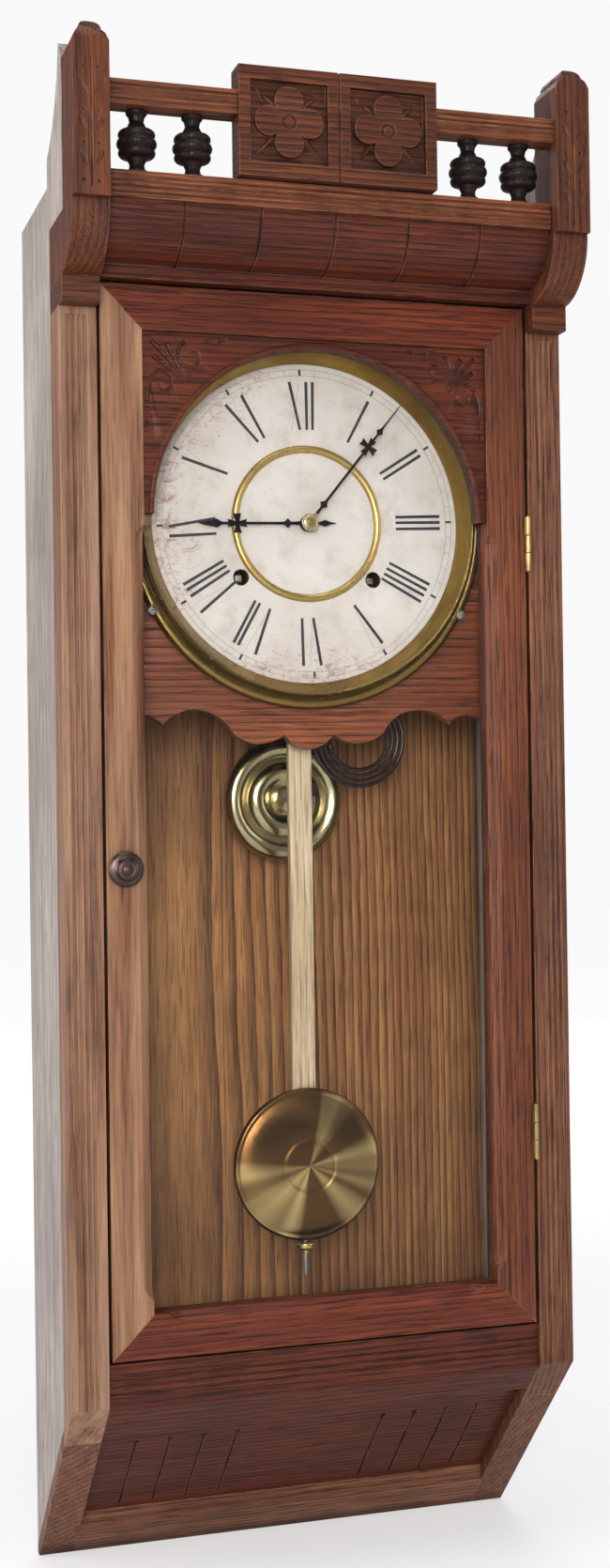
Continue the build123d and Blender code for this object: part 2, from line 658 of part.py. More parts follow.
# ---------------------------------------------------------------- dial board
BOARD_BACK = DIAL_BOARD_FRONT + DIAL_BOARD_THICK
SCREW_AT = ((-102.5, -277.0), (102.5, -277.0))


def dial_board():
    half = INNER_HALF - FIT
    lines = [Polyline((0, -92), (half, -92), (half, -346), (120, -346)),
             ThreePointArc((120, -346), (108, -341.8), (95.7, -348)),
             ThreePointArc((95.7, -348), (75, -338.4), (50, -353.5)),
             ThreePointArc((50, -353.5), (32, -360), (16.2, -354.2)),
             ThreePointArc((16.2, -354.2), (9, -361.2), (0, -363.6)),
             Line((0, -363.6), (0, -92))]
    face = make_face([edge for line in lines for edge in line.edges()])
    right = deep(face, DIAL_BOARD_FRONT, BOARD_BACK)
    body = right + mirrored(right)
    body -= rod_y(0, DIAL_Z, 7, DIAL_BOARD_FRONT - 1, BOARD_BACK + 1)
    for sign in (-1, 1):
        body -= rod_y(sign * WIND_X, WIND_Z, 6, DIAL_BOARD_FRONT - 1, BOARD_BACK + 1)
    for x, z in SCREW_AT:
        body -= rod_y(x, z, 1.3, DIAL_BOARD_FRONT - 1, DIAL_BOARD_FRONT + 7.2)
    return body


write(dial_board(), "dial_board")

# ---------------------------------------------------------------- dial, bezel, rings
dial_face = Circle(DIAL_RADIUS) - Circle(5)
for sign in (-1, 1):
    dial_face -= Pos(sign * WIND_X, WIND_Z - DIAL_Z) * Circle(WIND_HOLE)
write(Pos(0, 0, DIAL_Z) * deep(dial_face, DIAL_FACE, DIAL_BOARD_FRONT), "dial_pan")


def bezel():
    lines = [
        Polyline((DIAL_RADIUS + 0.1, DIAL_BOARD_FRONT), (DIAL_RADIUS + 0.1, -104.0), (108.2, -113.7)),
        ThreePointArc((108.2, -113.7), (109.0, -114.3), (109.8, -113.6)),
        Polyline((109.8, -113.6), (111.6, -104.8)),
        ThreePointArc((111.6, -104.8), (115.0, -107.4), (118.2, -104.0)),
        Polyline((118.2, -104.0), (118.2, DIAL_BOARD_FRONT), (DIAL_RADIUS + 0.1, DIAL_BOARD_FRONT)),
    ]
    body = turned_y([edge for line in lines for edge in line.edges()], 0, DIAL_Z)
    for x, z in SCREW_AT:
        body -= rod_y(x, z, 1.4, -110, -100)
        body -= rod_y(x, z, 3.1, -110, -106.0)
    return body


write(bezel(), "dial_bezel")

centre_arc = ThreePointArc((45.0, DIAL_FACE), (47.5, DIAL_FACE - 2.3), (50.0, DIAL_FACE))
centre_base = Line((50.0, DIAL_FACE), (45.0, DIAL_FACE))
write(turned_y(centre_arc.edges() + centre_base.edges(), 0, DIAL_Z), "dial_centre_ring")


def bezel_screw(x, z):
    lines = Polyline((0, -108.4), (1.8, -108.2), (3.0, -107.2), (3.0, -106.0), (1.2, -106.0), (1.2, -95.5),
                     (0, -94.6), close=True)
    return turned_y(lines, x, z) - block(x - 4, x + 4, -110, -107.6, z - 0.4, z + 0.4)


write(group(*[bezel_screw(x, z) for x, z in SCREW_AT]), "bezel_screws")

# ---------------------------------------------------------------- hands
HOUR_Y = (-106.3, -105.3)
MINUTE_Y = (-109.4, -108.4)


def diamond(at, half_long, half_wide):
    return outline([(at - half_long, 0), (at, half_wide), (at + half_long, 0), (at, -half_wide)])


def cross(at, reach, flare):
    """Four flared arms round a point on the hand."""
    shape = Pos(at, 0) * Circle(1.2)
    for turn in range(4):
        arm = outline([(0.0, 0.7), (reach - 1.2, flare), (reach, 0), (reach - 1.2, -flare), (0.0, -0.7)])
        shape += Pos(at, 0) * Rot(0, 0, 90 * turn) * arm
    return shape


def hand(tip, first, cross_at, second, root_width, size):
    """Flat pierced hand, drawn along local X from its centre."""
    shape = Circle(4.4)
    shape += outline([(0, root_width), (tip - 6, 0.45), (tip, 0.15), (tip, -0.15), (tip - 6, -0.45), (0, -root_width)])
    shape += diamond(first, 5.0 * size, 3.2 * size)
    shape += cross(cross_at, 5.4 * size, 3.0 * size)
    shape += diamond(second, 4.0 * size, 2.6 * size)
    return shape


def dial_place(degrees):
    """Turns local X to a clock angle measured from twelve, clockwise seen from the front."""
    return Pos(0, 0, DIAL_Z) * Rot(0, degrees - 90, 0)


minute_face = hand(100.6, 15.0, 63.6, 76.0, 1.1, 1.0)
minute_hand = dial_place(MINUTE_ANGLE) * deep(minute_face - Circle(2.4), *MINUTE_Y)
write(minute_hand, "minute_hand")
hour_face = hand(72.0, 13.7, 46.9, 58.9, 1.3, 1.15)
hour_face += outline([(-4, 1.2), (-11, 3.4), (-18.4, 0), (-11, -3.4), (-4, -1.2)])
hour_hand = dial_place(HOUR_ANGLE) * deep(hour_face - Circle(3.2), *HOUR_Y)
write(hour_hand, "hour_hand")

washer_arc = ThreePointArc((2.4, MINUTE_Y[0] - 1.6), (4.4, MINUTE_Y[0] - 1.2), (5.6, MINUTE_Y[0]))
washer_rest = Polyline((5.6, MINUTE_Y[0]), (2.4, MINUTE_Y[0]), (2.4, MINUTE_Y[0] - 1.6))
washer = turned_y(washer_arc.edges() + washer_rest.edges(), 0, DIAL_Z)
PIN_Y = MINUTE_Y[0] - 2.5
taper_pin = Pos(0, PIN_Y, DIAL_Z) * Rot(0, 125, 0) * Rot(0, 90, 0) * Cone(0.75, 0.45, 13)
write(group(washer, taper_pin), "hand_washer_and_pin")

# ---------------------------------------------------------------- gears
CENTRE = (0.0, DIAL_Z)
TIME_GREAT = (WIND_X, WIND_Z)
STRIKE_GREAT = (-WIND_X, WIND_Z)
SHAFT = 1.5
PIVOT = 1.0
TIP = 0.3


def between(a, b, from_a, from_b, side):
    """Point at set distances from two arbors, on the left (+1) or right (-1) of the line from a to b."""
    span = math.dist(a, b)
    lead = (from_a ** 2 - from_b ** 2 + span ** 2) / (2 * span)
    rise = math.sqrt(from_a ** 2 - lead ** 2) * side
    ux = (b[0] - a[0]) / span
    uz = (b[1] - a[1]) / span
    return a[0] + ux * lead - uz * rise, a[1] + uz * lead + ux * rise


def heading(a, b):
    return math.degrees(math.atan2(b[1] - a[1], b[0] - a[0]))


def wheel_face(teeth, module, phase, rim, hub):
    """Brass wheel: thin teeth with tapered flanks, a rim, four spokes and a hub. Phase puts a tooth there."""
    root = teeth * module / 2 - 1.1 * module
    pitch = teeth * module / 2
    tip = pitch + 0.85 * module
    step = 360 / teeth
    points = []
    for tooth in range(teeth):
        middle = phase + tooth * step
        for radius, share in ((root, -0.25), (pitch, -0.19), (tip, -0.07), (tip, 0.07), (pitch, 0.19), (root, 0.25)):
            points.append(polar(0, 0, radius, middle + share * step))
    shape = outline(points)
    if root - rim > hub + 3:
        shape -= Circle(root - rim)
        shape += Circle(hub)
        for turn in range(4):
            shape += Rot(0, 0, 45 + 90 * turn) * (Pos((root - rim / 2) / 2, 0) * Rectangle(root - rim / 2, 2.6))
    return shape


def wheel(at, teeth, module, phase, y0, y1, bore, rim=2.4, hub=4.0):
    shape = wheel_face(teeth, module, phase, rim, hub) - Circle(bore)
    return Pos(at[0], 0, at[1]) * deep(shape, y0, y1)


def lantern(at, pins, module, phase, y0, y1):
    """Lantern pinion: round pins between two brass collars."""
    pitch = pins * module / 2
    pin_r = 0.17 * math.pi * module
    collar = pitch + pin_r + 0.3
    body = ring_y(*at, collar, SHAFT - 0.3, y0, y0 + 0.8)
    body += ring_y(*at, collar, SHAFT - 0.3, y1 - 0.8, y1)
    for i in range(pins):
        x, z = polar(*at, pitch, phase + i * 360 / pins)
        body += rod_y(x, z, pin_r, y0 + 0.4, y1 - 0.4)
    return body


def arbor(at, shaft=SHAFT, pivot=PIVOT):
    """Arbor between the plates with a pivot at each end."""
    body = rod_y(*at, shaft, FRONT_PLATE[1] + TIP, BACK_PLATE[0] - TIP)
    return body + rod_y(*at, pivot, FRONT_PLATE[0] + 0.2, BACK_PLATE[1] - 0.2)


GREAT_TEETH = 70
GREAT_PINS = 10
GREAT_M = 0.95
SECOND_TEETH = 36
CENTRE_PINION = 18
SECOND_M = 1.0
CENTRE_TEETH = 64
THIRD_PINS = 8
CENTRE_M = 0.68
THIRD_TEETH = 60
ESCAPE_PINS = 8
THIRD_M = 0.62
ESCAPE_TEETH = 45
ESCAPE_R = 13.0
ESCAPE = (0.0, -175.5)
VERGE = (0.0, PIVOT_Z)
CANNON = 14
MINUTE_TEETH = 42
MINUTE_M = 0.6
MINUTE_PINION = 12
HOUR_TEETH = 48
HOUR_M = 0.56


def mesh_reach(a, b, module):
    return (a + b) * module / 2


SECOND = between(TIME_GREAT, CENTRE, mesh_reach(GREAT_TEETH, GREAT_PINS, GREAT_M),
                 mesh_reach(SECOND_TEETH, CENTRE_PINION, SECOND_M), -1)
THIRD = between(CENTRE, ESCAPE, mesh_reach(CENTRE_TEETH, THIRD_PINS, CENTRE_M),
                mesh_reach(THIRD_TEETH, ESCAPE_PINS, THIRD_M), 1)
MINUTE_AT = polar(*CENTRE, mesh_reach(CANNON, MINUTE_TEETH, MINUTE_M), -45)
GREAT_Y = (-30.0, -28.0)
GREAT_PINION_Y = (-32.0, -26.0)
SECOND_Y = (-55.0, -53.5)
CENTRE_PINION_Y = (-56.5, -52.0)
CENTRE_Y = (-47.0, -45.7)
THIRD_PINION_Y = (-49.2, -43.5)
THIRD_Y = (-40.0, -38.7)
ESCAPE_PINION_Y = (-42.2, -36.5)
ESCAPE_Y = (-67.0, -66.0)


def gap_phase(at, other, teeth):
    """Phase that puts a gap, not a tooth, on the line to the other wheel."""
    return heading(at, other) + 180 / teeth


# time train
WIND_SHAFT = 3.5
great_time = wheel(TIME_GREAT, GREAT_TEETH, GREAT_M, heading(TIME_GREAT, SECOND), *GREAT_Y, WIND_SHAFT + RUN,
                   3.5, 8.0)
write(great_time, "time_great_wheel")
second = arbor(SECOND)
second += lantern(SECOND, GREAT_PINS, GREAT_M, gap_phase(SECOND, TIME_GREAT, GREAT_PINS), *GREAT_PINION_Y)
second += wheel(SECOND, SECOND_TEETH, SECOND_M, heading(SECOND, CENTRE), *SECOND_Y, SHAFT - 0.3)
write(second, "time_second_wheel")

ARBOR_FRONT = 2.4
centre_arbor = arbor(CENTRE)
centre_arbor += wheel(CENTRE, CENTRE_PINION, SECOND_M, gap_phase(CENTRE, SECOND, CENTRE_PINION), *CENTRE_PINION_Y,
                      SHAFT - 0.3)
centre_arbor += wheel(CENTRE, CENTRE_TEETH, CENTRE_M, heading(CENTRE, THIRD), *CENTRE_Y, SHAFT - 0.3)
centre_arbor += rod_y(*CENTRE, PIVOT, -63, -59)
centre_arbor += rod_y(*CENTRE, ARBOR_FRONT, MINUTE_Y[0] - 4.0, -62.6)
centre_arbor += wheel(CENTRE, CANNON, MINUTE_M, gap_phase(CENTRE, MINUTE_AT, CANNON), -66.5, -64.3, 1.0)
centre_arbor -= Pos(0, PIN_Y, DIAL_Z) * Rot(0, 125, 0) * Rot(0, 90, 0) * Cylinder(0.85, 8)
write(centre_arbor, "centre_wheel")

third = arbor(THIRD)
third += lantern(THIRD, THIRD_PINS, CENTRE_M, gap_phase(THIRD, CENTRE, THIRD_PINS), *THIRD_PINION_Y)
third += wheel(THIRD, THIRD_TEETH, THIRD_M, heading(THIRD, ESCAPE), *THIRD_Y, SHAFT - 0.3)
write(third, "third_wheel")


def escape_wheel():
    points = []
    step = 360 / ESCAPE_TEETH
    for tooth in range(ESCAPE_TEETH):
        middle = tooth * step
        points.append(polar(0, 0, ESCAPE_R - 2.6, middle - step / 2))
        points.append(polar(0, 0, ESCAPE_R - 2.6, middle + step * 0.05))
        points.append(polar(0, 0, ESCAPE_R, middle + step * 0.36))
        points.append(polar(0, 0, ESCAPE_R, middle + step * 0.42))
    shape = outline(points) - Circle(ESCAPE_R - 4.2)
    shape += Circle(2.6)
    for turn in range(4):
        shape += Rot(0, 0, 90 * turn) * (Pos(4.6, 0) * Rectangle(9.2, 1.4))
    body = Pos(ESCAPE[0], 0, ESCAPE[1]) * deep(shape, *ESCAPE_Y)
    body += rod_y(*ESCAPE, SHAFT, FRONT_PLATE[1] + TIP, BACK_PLATE[0] - TIP)
    body += rod_y(*ESCAPE, PIVOT, -67.6, BACK_PLATE[1] - 0.2)
    return body + lantern(ESCAPE, ESCAPE_PINS, THIRD_M, gap_phase(ESCAPE, THIRD, ESCAPE_PINS), *ESCAPE_PINION_Y)


write(escape_wheel(), "escape_wheel")

# motion works
minute_wheel = wheel(MINUTE_AT, MINUTE_TEETH, MINUTE_M, heading(MINUTE_AT, CENTRE), -66.0, -64.8, 1.26, 2.4, 3.4)
minute_wheel += ring_y(*MINUTE_AT, 2.2, 1.26, -70.6, -65)
minute_wheel += wheel(MINUTE_AT, MINUTE_PINION, HOUR_M, heading(MINUTE_AT, CENTRE), -70.6, -68.4, 1.26)
write(minute_wheel, "minute_wheel")
hour_wheel = wheel(CENTRE, HOUR_TEETH, HOUR_M, gap_phase(CENTRE, MINUTE_AT, HOUR_TEETH), -70.0, -69.0,
                   ARBOR_FRONT + RUN, 2.4, 5.0)
hour_wheel += ring_y(*CENTRE, 3.15, ARBOR_FRONT + RUN, HOUR_Y[0], -69.5)
write(hour_wheel, "hour_wheel")


# verge: strap with two pallets, hub and crutch
def verge():
    reach = ESCAPE_R + 0.9
    left = polar(*ESCAPE, reach, 225)
    shape = Pos(*VERGE) * Circle(2.4)
    for sign in (-1, 1):
        px, pz = -sign * left[0], left[1]
        shape += outline([(0, PIVOT_Z - 1.4), (sign * 12.6, pz - 3.4), (sign * 13.4, pz + 1.6),
                          (px + sign * 0.9, pz + 0.9), (px, pz), (sign * 10.9, pz - 2.4), (0, PIVOT_Z + 1.0)])
    shape -= Pos(*VERGE) * Circle(1.05)
    body = deep(shape, -67.2, -65.8)
    body += ring_y(*VERGE, 2.4, 1.05, -72.6, -65.8)
    body += block(-1.0, 1.0, -72.6, -71.6, -204, PIVOT_Z - 1.8)
    body += block(-3.6, 3.6, -72.6, -71.6, -205, -203)
    for sign in (-1, 1):
        body += block(sign * 2.4, sign * 3.6, -80.0, -71.6, -205, -203)
    return body


write(verge(), "verge_and_crutch")


# winding arbors: steel with a square end for the key
def winding_arbor(at):
    body = rod_y(*at, WIND_SHAFT, FRONT_PLATE[1] + TIP, BACK_PLATE[0] - TIP)
    body += rod_y(*at, 2.0, -30, BACK_PLATE[1] - 0.2)
    body += rod_y(*at, 3.0, -62.8, -59)
    body += block(at[0] - 2.1, at[0] + 2.1, -96, -62.5, at[1] - 2.1, at[1] + 2.1)
    return body


write(winding_arbor(TIME_GREAT), "time_winding_arbor")
write(winding_arbor(STRIKE_GREAT), "strike_winding_arbor")

spring_rings = [ring_y(*at, 28.0, 4.2, -50, -33) for at in (TIME_GREAT, STRIKE_GREAT)]
write(group(*spring_rings), "mainsprings")

# strike train
PIN_TEETH = 60
PIN_M = 0.6
FLY_PINS = 8
PIN_WHEEL = polar(*STRIKE_GREAT, mesh_reach(GREAT_TEETH, GREAT_PINS, GREAT_M), 80)
FLY = polar(*PIN_WHEEL, mesh_reach(PIN_TEETH, FLY_PINS, PIN_M), 80)
write(wheel(STRIKE_GREAT, GREAT_TEETH, GREAT_M, 80, *GREAT_Y, WIND_SHAFT + RUN, 3.5, 8.0), "strike_great_wheel")
pin_wheel = arbor(PIN_WHEEL)
pin_wheel += lantern(PIN_WHEEL, GREAT_PINS, GREAT_M, gap_phase(PIN_WHEEL, STRIKE_GREAT, GREAT_PINS), *GREAT_PINION_Y)
pin_wheel += wheel(PIN_WHEEL, PIN_TEETH, PIN_M, 80, -55.0, -53.7, SHAFT - 0.3)
for i in range(8):
    px, pz = polar(*PIN_WHEEL, 15.6, 22.5 + 45 * i)
    pin_wheel += rod_y(px, pz, 0.7, -54.3, -51.2)
write(pin_wheel, "strike_pin_wheel")
fly = arbor(FLY)
fly += lantern(FLY, FLY_PINS, PIN_M, gap_phase(FLY, PIN_WHEEL, FLY_PINS), -57.2, -51.5)
fly += block(FLY[0] - 12, FLY[0] + 12, -36, -27.5, FLY[1] - 0.4, FLY[1] + 0.4)
write(fly, "strike_fly")

# hammer
HAMMER = (0.0, -276.0)
HAMMER_Z = -350.0
HAMMER_Y = -50.0
hammer = arbor(HAMMER)
hammer += ring_y(*HAMMER, 3.2, SHAFT - 0.3, HAMMER_Y - 2.2, HAMMER_Y + 1.4)
hammer += rod_z(0, HAMMER_Y, 0.9, HAMMER_Z, HAMMER[1] - 2)
hammer += Pos(1.0, HAMMER_Y, HAMMER_Z) * Rot(0, 90, 0) * Cylinder(4.0, 12)
tail = outline([(HAMMER[0] - 1.6, HAMMER[1]), (HAMMER[0] + 1.6, HAMMER[1] + 1), (-22.5, -238.5), (-24.5, -240)])
hammer += deep(tail, -52.2, -51.2)
write(hammer, "strike_hammer")

# ---------------------------------------------------------------- plates
PLATE_HALF = 62.0
PLATE_Z = (-296.0, -162.0)
PILLARS = ((-54.0, -171.0), (54.0, -171.0), (-8.5, -289.0), (8.5, -289.0))
TRAIN = (SECOND, CENTRE, THIRD, PIN_WHEEL, FLY, HAMMER)


def plate(y0, y1, wind_hole):
    """Brass plate, cut away at the lower corners, pierced for every pivot."""
    low, high = PLATE_Z
    shape = outline([(-PLATE_HALF, high), (PLATE_HALF, high), (PLATE_HALF, -262), (36, -262), (18, low),
                     (-18, low), (-36, -262), (-PLATE_HALF, -262)])
    for at in TRAIN + (ESCAPE,):
        shape -= Pos(*at) * Circle(PIVOT + RUN)
    for at in (TIME_GREAT, STRIKE_GREAT):
        shape -= Pos(*at) * Circle(wind_hole)
    for at in PILLARS:
        shape -= Pos(*at) * Circle(2.0)
    return deep(shape, y0, y1)


front_plate = plate(*FRONT_PLATE, 3.0 + RUN)
front_plate += rod_y(*MINUTE_AT, 1.2, -73.0, -61.5)
front_plate += rod_y(*VERGE, 1.0, -73.4, -61.5)
front_plate += block(16, 20, -80.5, -61.5, PIVOT_Z + 2, PIVOT_Z + 6)
front_plate += block(-3, 20, -80.5, -75.5, PIVOT_Z + 2, PIVOT_Z + 6)
write(front_plate, "movement_front_plate")
write(plate(*BACK_PLATE, 2.0 + RUN), "movement_back_plate")


def pillar(x, z):
    body = rod_y(x, z, 3.2, FRONT_PLATE[1], BACK_PLATE[0])
    body += rod_y(x, z, 1.95, FRONT_PLATE[0] - 1.6, -20)
    body += rod_y(x, z, 4.0, -BACK_THICK - 12, -BACK_THICK)
    return body


nuts = [deep(Pos(x, z) * (RegularPolygon(3.6, 6) - Circle(2.0)), FRONT_PLATE[0] - 2.4, FRONT_PLATE[0])
        for x, z in PILLARS]
write(group(*[pillar(x, z) for x, z in PILLARS], *nuts), "movement_pillars_and_nuts")

# ---------------------------------------------------------------- pendulum
STICK_HALF = 7.75
STICK_Y = (-81.0, -75.0)
STICK_Z = (-668.0, -236.0)
HOOK_X = 6.5
HOOK_R = 0.8
hanger = block(-1.6, 1.6, PENDULUM_Y - 0.15, PENDULUM_Y + 0.15, -207, PIVOT_Z + 1.6)
hanger += block(-2.2, 2.2, PENDULUM_Y - 1.6, PENDULUM_Y + 1.6, -210, -206)
hanger += Pos(0, PENDULUM_Y, -209) * Rot(0, 90, 0) * Cylinder(HOOK_R, 2 * HOOK_X + 1.6)
for sign in (-1, 1):
    hanger += rod_z(sign * HOOK_X, PENDULUM_Y, HOOK_R, STICK_Z[1], -208.2)
stick = block(-STICK_HALF, STICK_HALF, *STICK_Y, *STICK_Z)
stick = round_edges(stick, stick.edges().filter_by(Axis.Z), 1.0)
write(stick, "pendulum_stick")
rating_rod = rod_z(0, PENDULUM_Y, 1.4, -703.0, STICK_Z[0])
write(group(hanger, rating_rod), "pendulum_suspension_and_rod")

BOB_BACK = STICK_Y[0] - 0.4


def bob():
    lines = [
        ThreePointArc((0, BOB_BACK - 9.6), (9, BOB_BACK - 9.4), (16.2, BOB_BACK - 9.0)),
        Polyline((16.2, BOB_BACK - 9.0), (16.7, BOB_BACK - 8.4), (17.6, BOB_BACK - 8.3), (18.2, BOB_BACK - 8.9)),
        ThreePointArc((18.2, BOB_BACK - 8.9), (34, BOB_BACK - 7.4), (45.5, BOB_BACK - 4.6)),
        ThreePointArc((45.5, BOB_BACK - 4.6), (BOB_RADIUS, BOB_BACK - 2.0), (46.0, BOB_BACK)),
        Polyline((46.0, BOB_BACK), (0, BOB_BACK), (0, BOB_BACK - 9.6)),
    ]
    return turned_y([edge for line in lines for edge in line.edges()], 0, BOB_Z)


write(bob(), "pendulum_bob")
nut_lines = Polyline((1.45, -681.4), (5.6, -681.4), (6.6, -682.2), (6.6, -685.2), (5.6, -686.0), (3.2, -686.6),
                     (3.2, -689.0), (1.45, -689.0), close=True)
write(turned_z(nut_lines, 0, PENDULUM_Y), "rating_nut")


# ---------------------------------------------------------------- gong
def gong_base():
    lines = Polyline((0, -BACK_THICK), (34, -BACK_THICK), (34, -14), (31, -17), (28, -22), (0, -22), close=True)
    return turned_y(lines, GONG_X, GONG_Z)


write(gong_base(), "gong_base")


def gong_cover():
    """Spun brass dish with raised rings and a small boss."""
    lines = [
        Polyline((0, -22.1), (38.4, -22.1), (40.5, -25.0)),
        ThreePointArc((40.5, -25.0), (39.2, -31.4), (34.5, -33.6)),
        ThreePointArc((34.5, -33.6), (30.0, -32.0), (27.0, -29.6)),
        ThreePointArc((27.0, -29.6), (21.6, -34.6), (15.0, -34.2)),
        ThreePointArc((15.0, -34.2), (12.0, -32.6), (9.4, -31.6)),
        Polyline((9.4, -31.6), (7.4, -35.4), (0, -36.4), (0, -22.1)),
    ]
    return turned_y([edge for line in lines for edge in line.edges()], GONG_X, GONG_Z)


write(gong_cover(), "gong_cover")

COIL_RADII = (33.0, 31.4, 29.6, 27.8, 26.0, 24.2, 22.4, 20.6, 18.8)


def gong_coil():
    """Flat spiral made of half turns, with its outer end run straight to the block on the cover."""
    edges = []
    x = COIL_X
    here = (x - COIL_RADII[0], COIL_Z)
    edges.append(Line((here[0], COIL_Z - 30, 0), (here[0], COIL_Z, 0)))
    direction = 1
    for radius in COIL_RADII:
        centre = here[0] + direction * radius
        far = centre + direction * radius
        # upper half turns run left to right, lower half turns come back
        edges.append(ThreePointArc((here[0], COIL_Z, 0), (centre, COIL_Z + direction * radius, 0), (far, COIL_Z, 0)))
        here = (far, COIL_Z)
        direction = -direction
    path = Wire(edges)
    start = Plane(origin=(COIL_X - COIL_RADII[0], COIL_Z - 30, 0), z_dir=(0, 1, 0))
    coil = sweep(start * Circle(WIRE), path=path)
    placed = Pos(0, COIL_Y, 0) * Rot(90, 0, 0) * coil
    foot = block(COIL_X - COIL_RADII[0] - 4, COIL_X - COIL_RADII[0] + 4, COIL_Y - 4, COIL_Y + 4,
                 COIL_Z - 38, COIL_Z - 29)
    foot += rod_y(COIL_X - COIL_RADII[0], COIL_Z - 33.5, 2.4, COIL_Y, -34.4)
    return placed, foot


coil_wire, coil_block = gong_coil()
write(group(coil_wire, coil_block), "gong_coil_and_block")
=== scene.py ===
import math

import bpy
from mathutils import Matrix, Vector


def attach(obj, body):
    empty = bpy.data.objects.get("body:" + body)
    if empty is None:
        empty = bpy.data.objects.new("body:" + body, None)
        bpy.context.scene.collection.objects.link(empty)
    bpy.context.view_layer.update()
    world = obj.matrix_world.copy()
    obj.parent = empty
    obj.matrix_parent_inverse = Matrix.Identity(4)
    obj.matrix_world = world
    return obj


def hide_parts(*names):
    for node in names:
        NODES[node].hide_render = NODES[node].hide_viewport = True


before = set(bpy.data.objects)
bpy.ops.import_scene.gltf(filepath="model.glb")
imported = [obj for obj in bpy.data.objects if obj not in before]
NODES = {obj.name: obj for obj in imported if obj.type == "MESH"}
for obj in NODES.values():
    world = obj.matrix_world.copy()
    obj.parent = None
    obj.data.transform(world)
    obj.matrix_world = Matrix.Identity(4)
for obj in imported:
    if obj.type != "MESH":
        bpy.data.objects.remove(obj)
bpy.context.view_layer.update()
MM = 0.001

# ------------------------------------------------------------ camera
EYE = (-0.3763, -1.3127, -0.3962)
TURN = math.radians(17.12)
TILT = math.radians(0.47)
LEAN = math.radians(-0.77)
LENS = 45.68
SENSOR = 36.0


def place_camera():
    ahead = Vector((math.sin(TURN) * math.cos(TILT), math.cos(TURN) * math.cos(TILT), math.sin(TILT)))
    side = Vector((math.cos(TURN), -math.sin(TURN), 0.0))
    up = side.cross(ahead)
    right = math.cos(LEAN) * side + math.sin(LEAN) * up
    top = math.cos(LEAN) * up - math.sin(LEAN) * side
    data = bpy.data.cameras.new("camera")
    data.lens = LENS
    data.sensor_width = SENSOR
    data.sensor_fit = "AUTO"
    data.clip_start = 0.02
    camera = bpy.data.objects.new("camera", data)
    bpy.context.scene.collection.objects.link(camera)
    turned = Matrix((right, top, -ahead)).transposed().to_4x4()
    camera.matrix_world = Matrix.Translation(EYE) @ turned
    bpy.context.scene.camera = camera


place_camera()
bpy.context.scene.view_settings.view_transform = "Standard"

# ------------------------------------------------------------ studio
FLOOR_Z = -0.8905
FLOOR_SIZE = 14.0
FLOOR_GLOW = 0.52
FLOOR_GLOW_RISE = 0.29
FLOOR_NEAR, FLOOR_FAR = 1.1, 2.2
ROOM_SEEN = 0.95
ROOM_CAST = 0.26


def soft_lamp(name, place, look_at, size, power, tint=(1.0, 1.0, 1.0)):
    data = bpy.data.lights.new(name, "AREA")
    data.shape = "RECTANGLE"
    data.size, data.size_y = size
    data.energy = power
    data.color = tint
    lamp = bpy.data.objects.new(name, data)
    bpy.context.scene.collection.objects.link(lamp)
    toward = (Vector(look_at) - Vector(place)).normalized()
    lamp.matrix_world = Matrix.Translation(place) @ toward.to_track_quat("-Z", "Y").to_matrix().to_4x4()


soft_lamp("lamp_front", (-0.75, -2.3, -0.05), (0.0, 0.0, -0.42), (0.7, 0.7), 30.0, (1.0, 0.985, 0.96))
soft_lamp("lamp_right", (2.0, -1.3, 0.2), (0.0, 0.0, -0.4), (1.0, 1.6), 9.0, (1.0, 0.98, 0.96))
soft_lamp("lamp_left", (-2.2, -0.4, 0.1), (0.0, 0.0, -0.4), (1.0, 1.8), 34.0, (0.97, 0.985, 1.0))
soft_lamp("lamp_top", (0.0, -0.9, 1.7), (0.0, 0.0, -0.3), (1.4, 1.2), 12.0)
soft_lamp("lamp_back", (0.6, 2.2, 0.7), (0.0, 0.0, -0.4), (1.6, 1.6), 20.0)


def light_room():
    world = bpy.data.worlds.new("room")
    bpy.context.scene.world = world
    world.use_nodes = True
    nodes, links = world.node_tree.nodes, world.node_tree.links
    nodes.clear()
    out = nodes.new("ShaderNodeOutputWorld")
    seen = nodes.new("ShaderNodeBackground")
    seen.inputs["Color"].default_value = (1.0, 1.0, 1.0, 1.0)
    seen.inputs["Strength"].default_value = ROOM_SEEN
    cast = nodes.new("ShaderNodeBackground")
    cast.inputs["Color"].default_value = (0.93, 0.95, 1.0, 1.0)
    cast.inputs["Strength"].default_value = ROOM_CAST
    path = nodes.new("ShaderNodeLightPath")
    mix = nodes.new("ShaderNodeMixShader")
    links.new(path.outputs["Is Camera Ray"], mix.inputs[0])
    links.new(cast.outputs[0], mix.inputs[1])
    links.new(seen.outputs[0], mix.inputs[2])
    links.new(mix.outputs[0], out.inputs["Surface"])


light_room()


# ------------------------------------------------------------ helpers for finishes
def new_group(name, inputs, outputs):
    tree = bpy.data.node_groups.new(name, "ShaderNodeTree")
    for label, kind, value in inputs:
        socket = tree.interface.new_socket(label, in_out="INPUT", socket_type=kind)
        if value is not None:
            socket.default_value = value
    for label, kind in outputs:
        tree.interface.new_socket(label, in_out="OUTPUT", socket_type=kind)
    entry = tree.nodes.new("NodeGroupInput")
    leave = tree.nodes.new("NodeGroupOutput")
    return tree, entry, leave


def add(tree, kind, **settings):
    node = tree.nodes.new("ShaderNode" + kind)
    for key, value in settings.items():
        setattr(node, key, value)
    return node


def feed(tree, source, socket):
    if isinstance(source, (int, float)):
        socket.default_value = source
    elif isinstance(source, tuple):
        socket.default_value = source
    else:
        tree.links.new(source, socket)


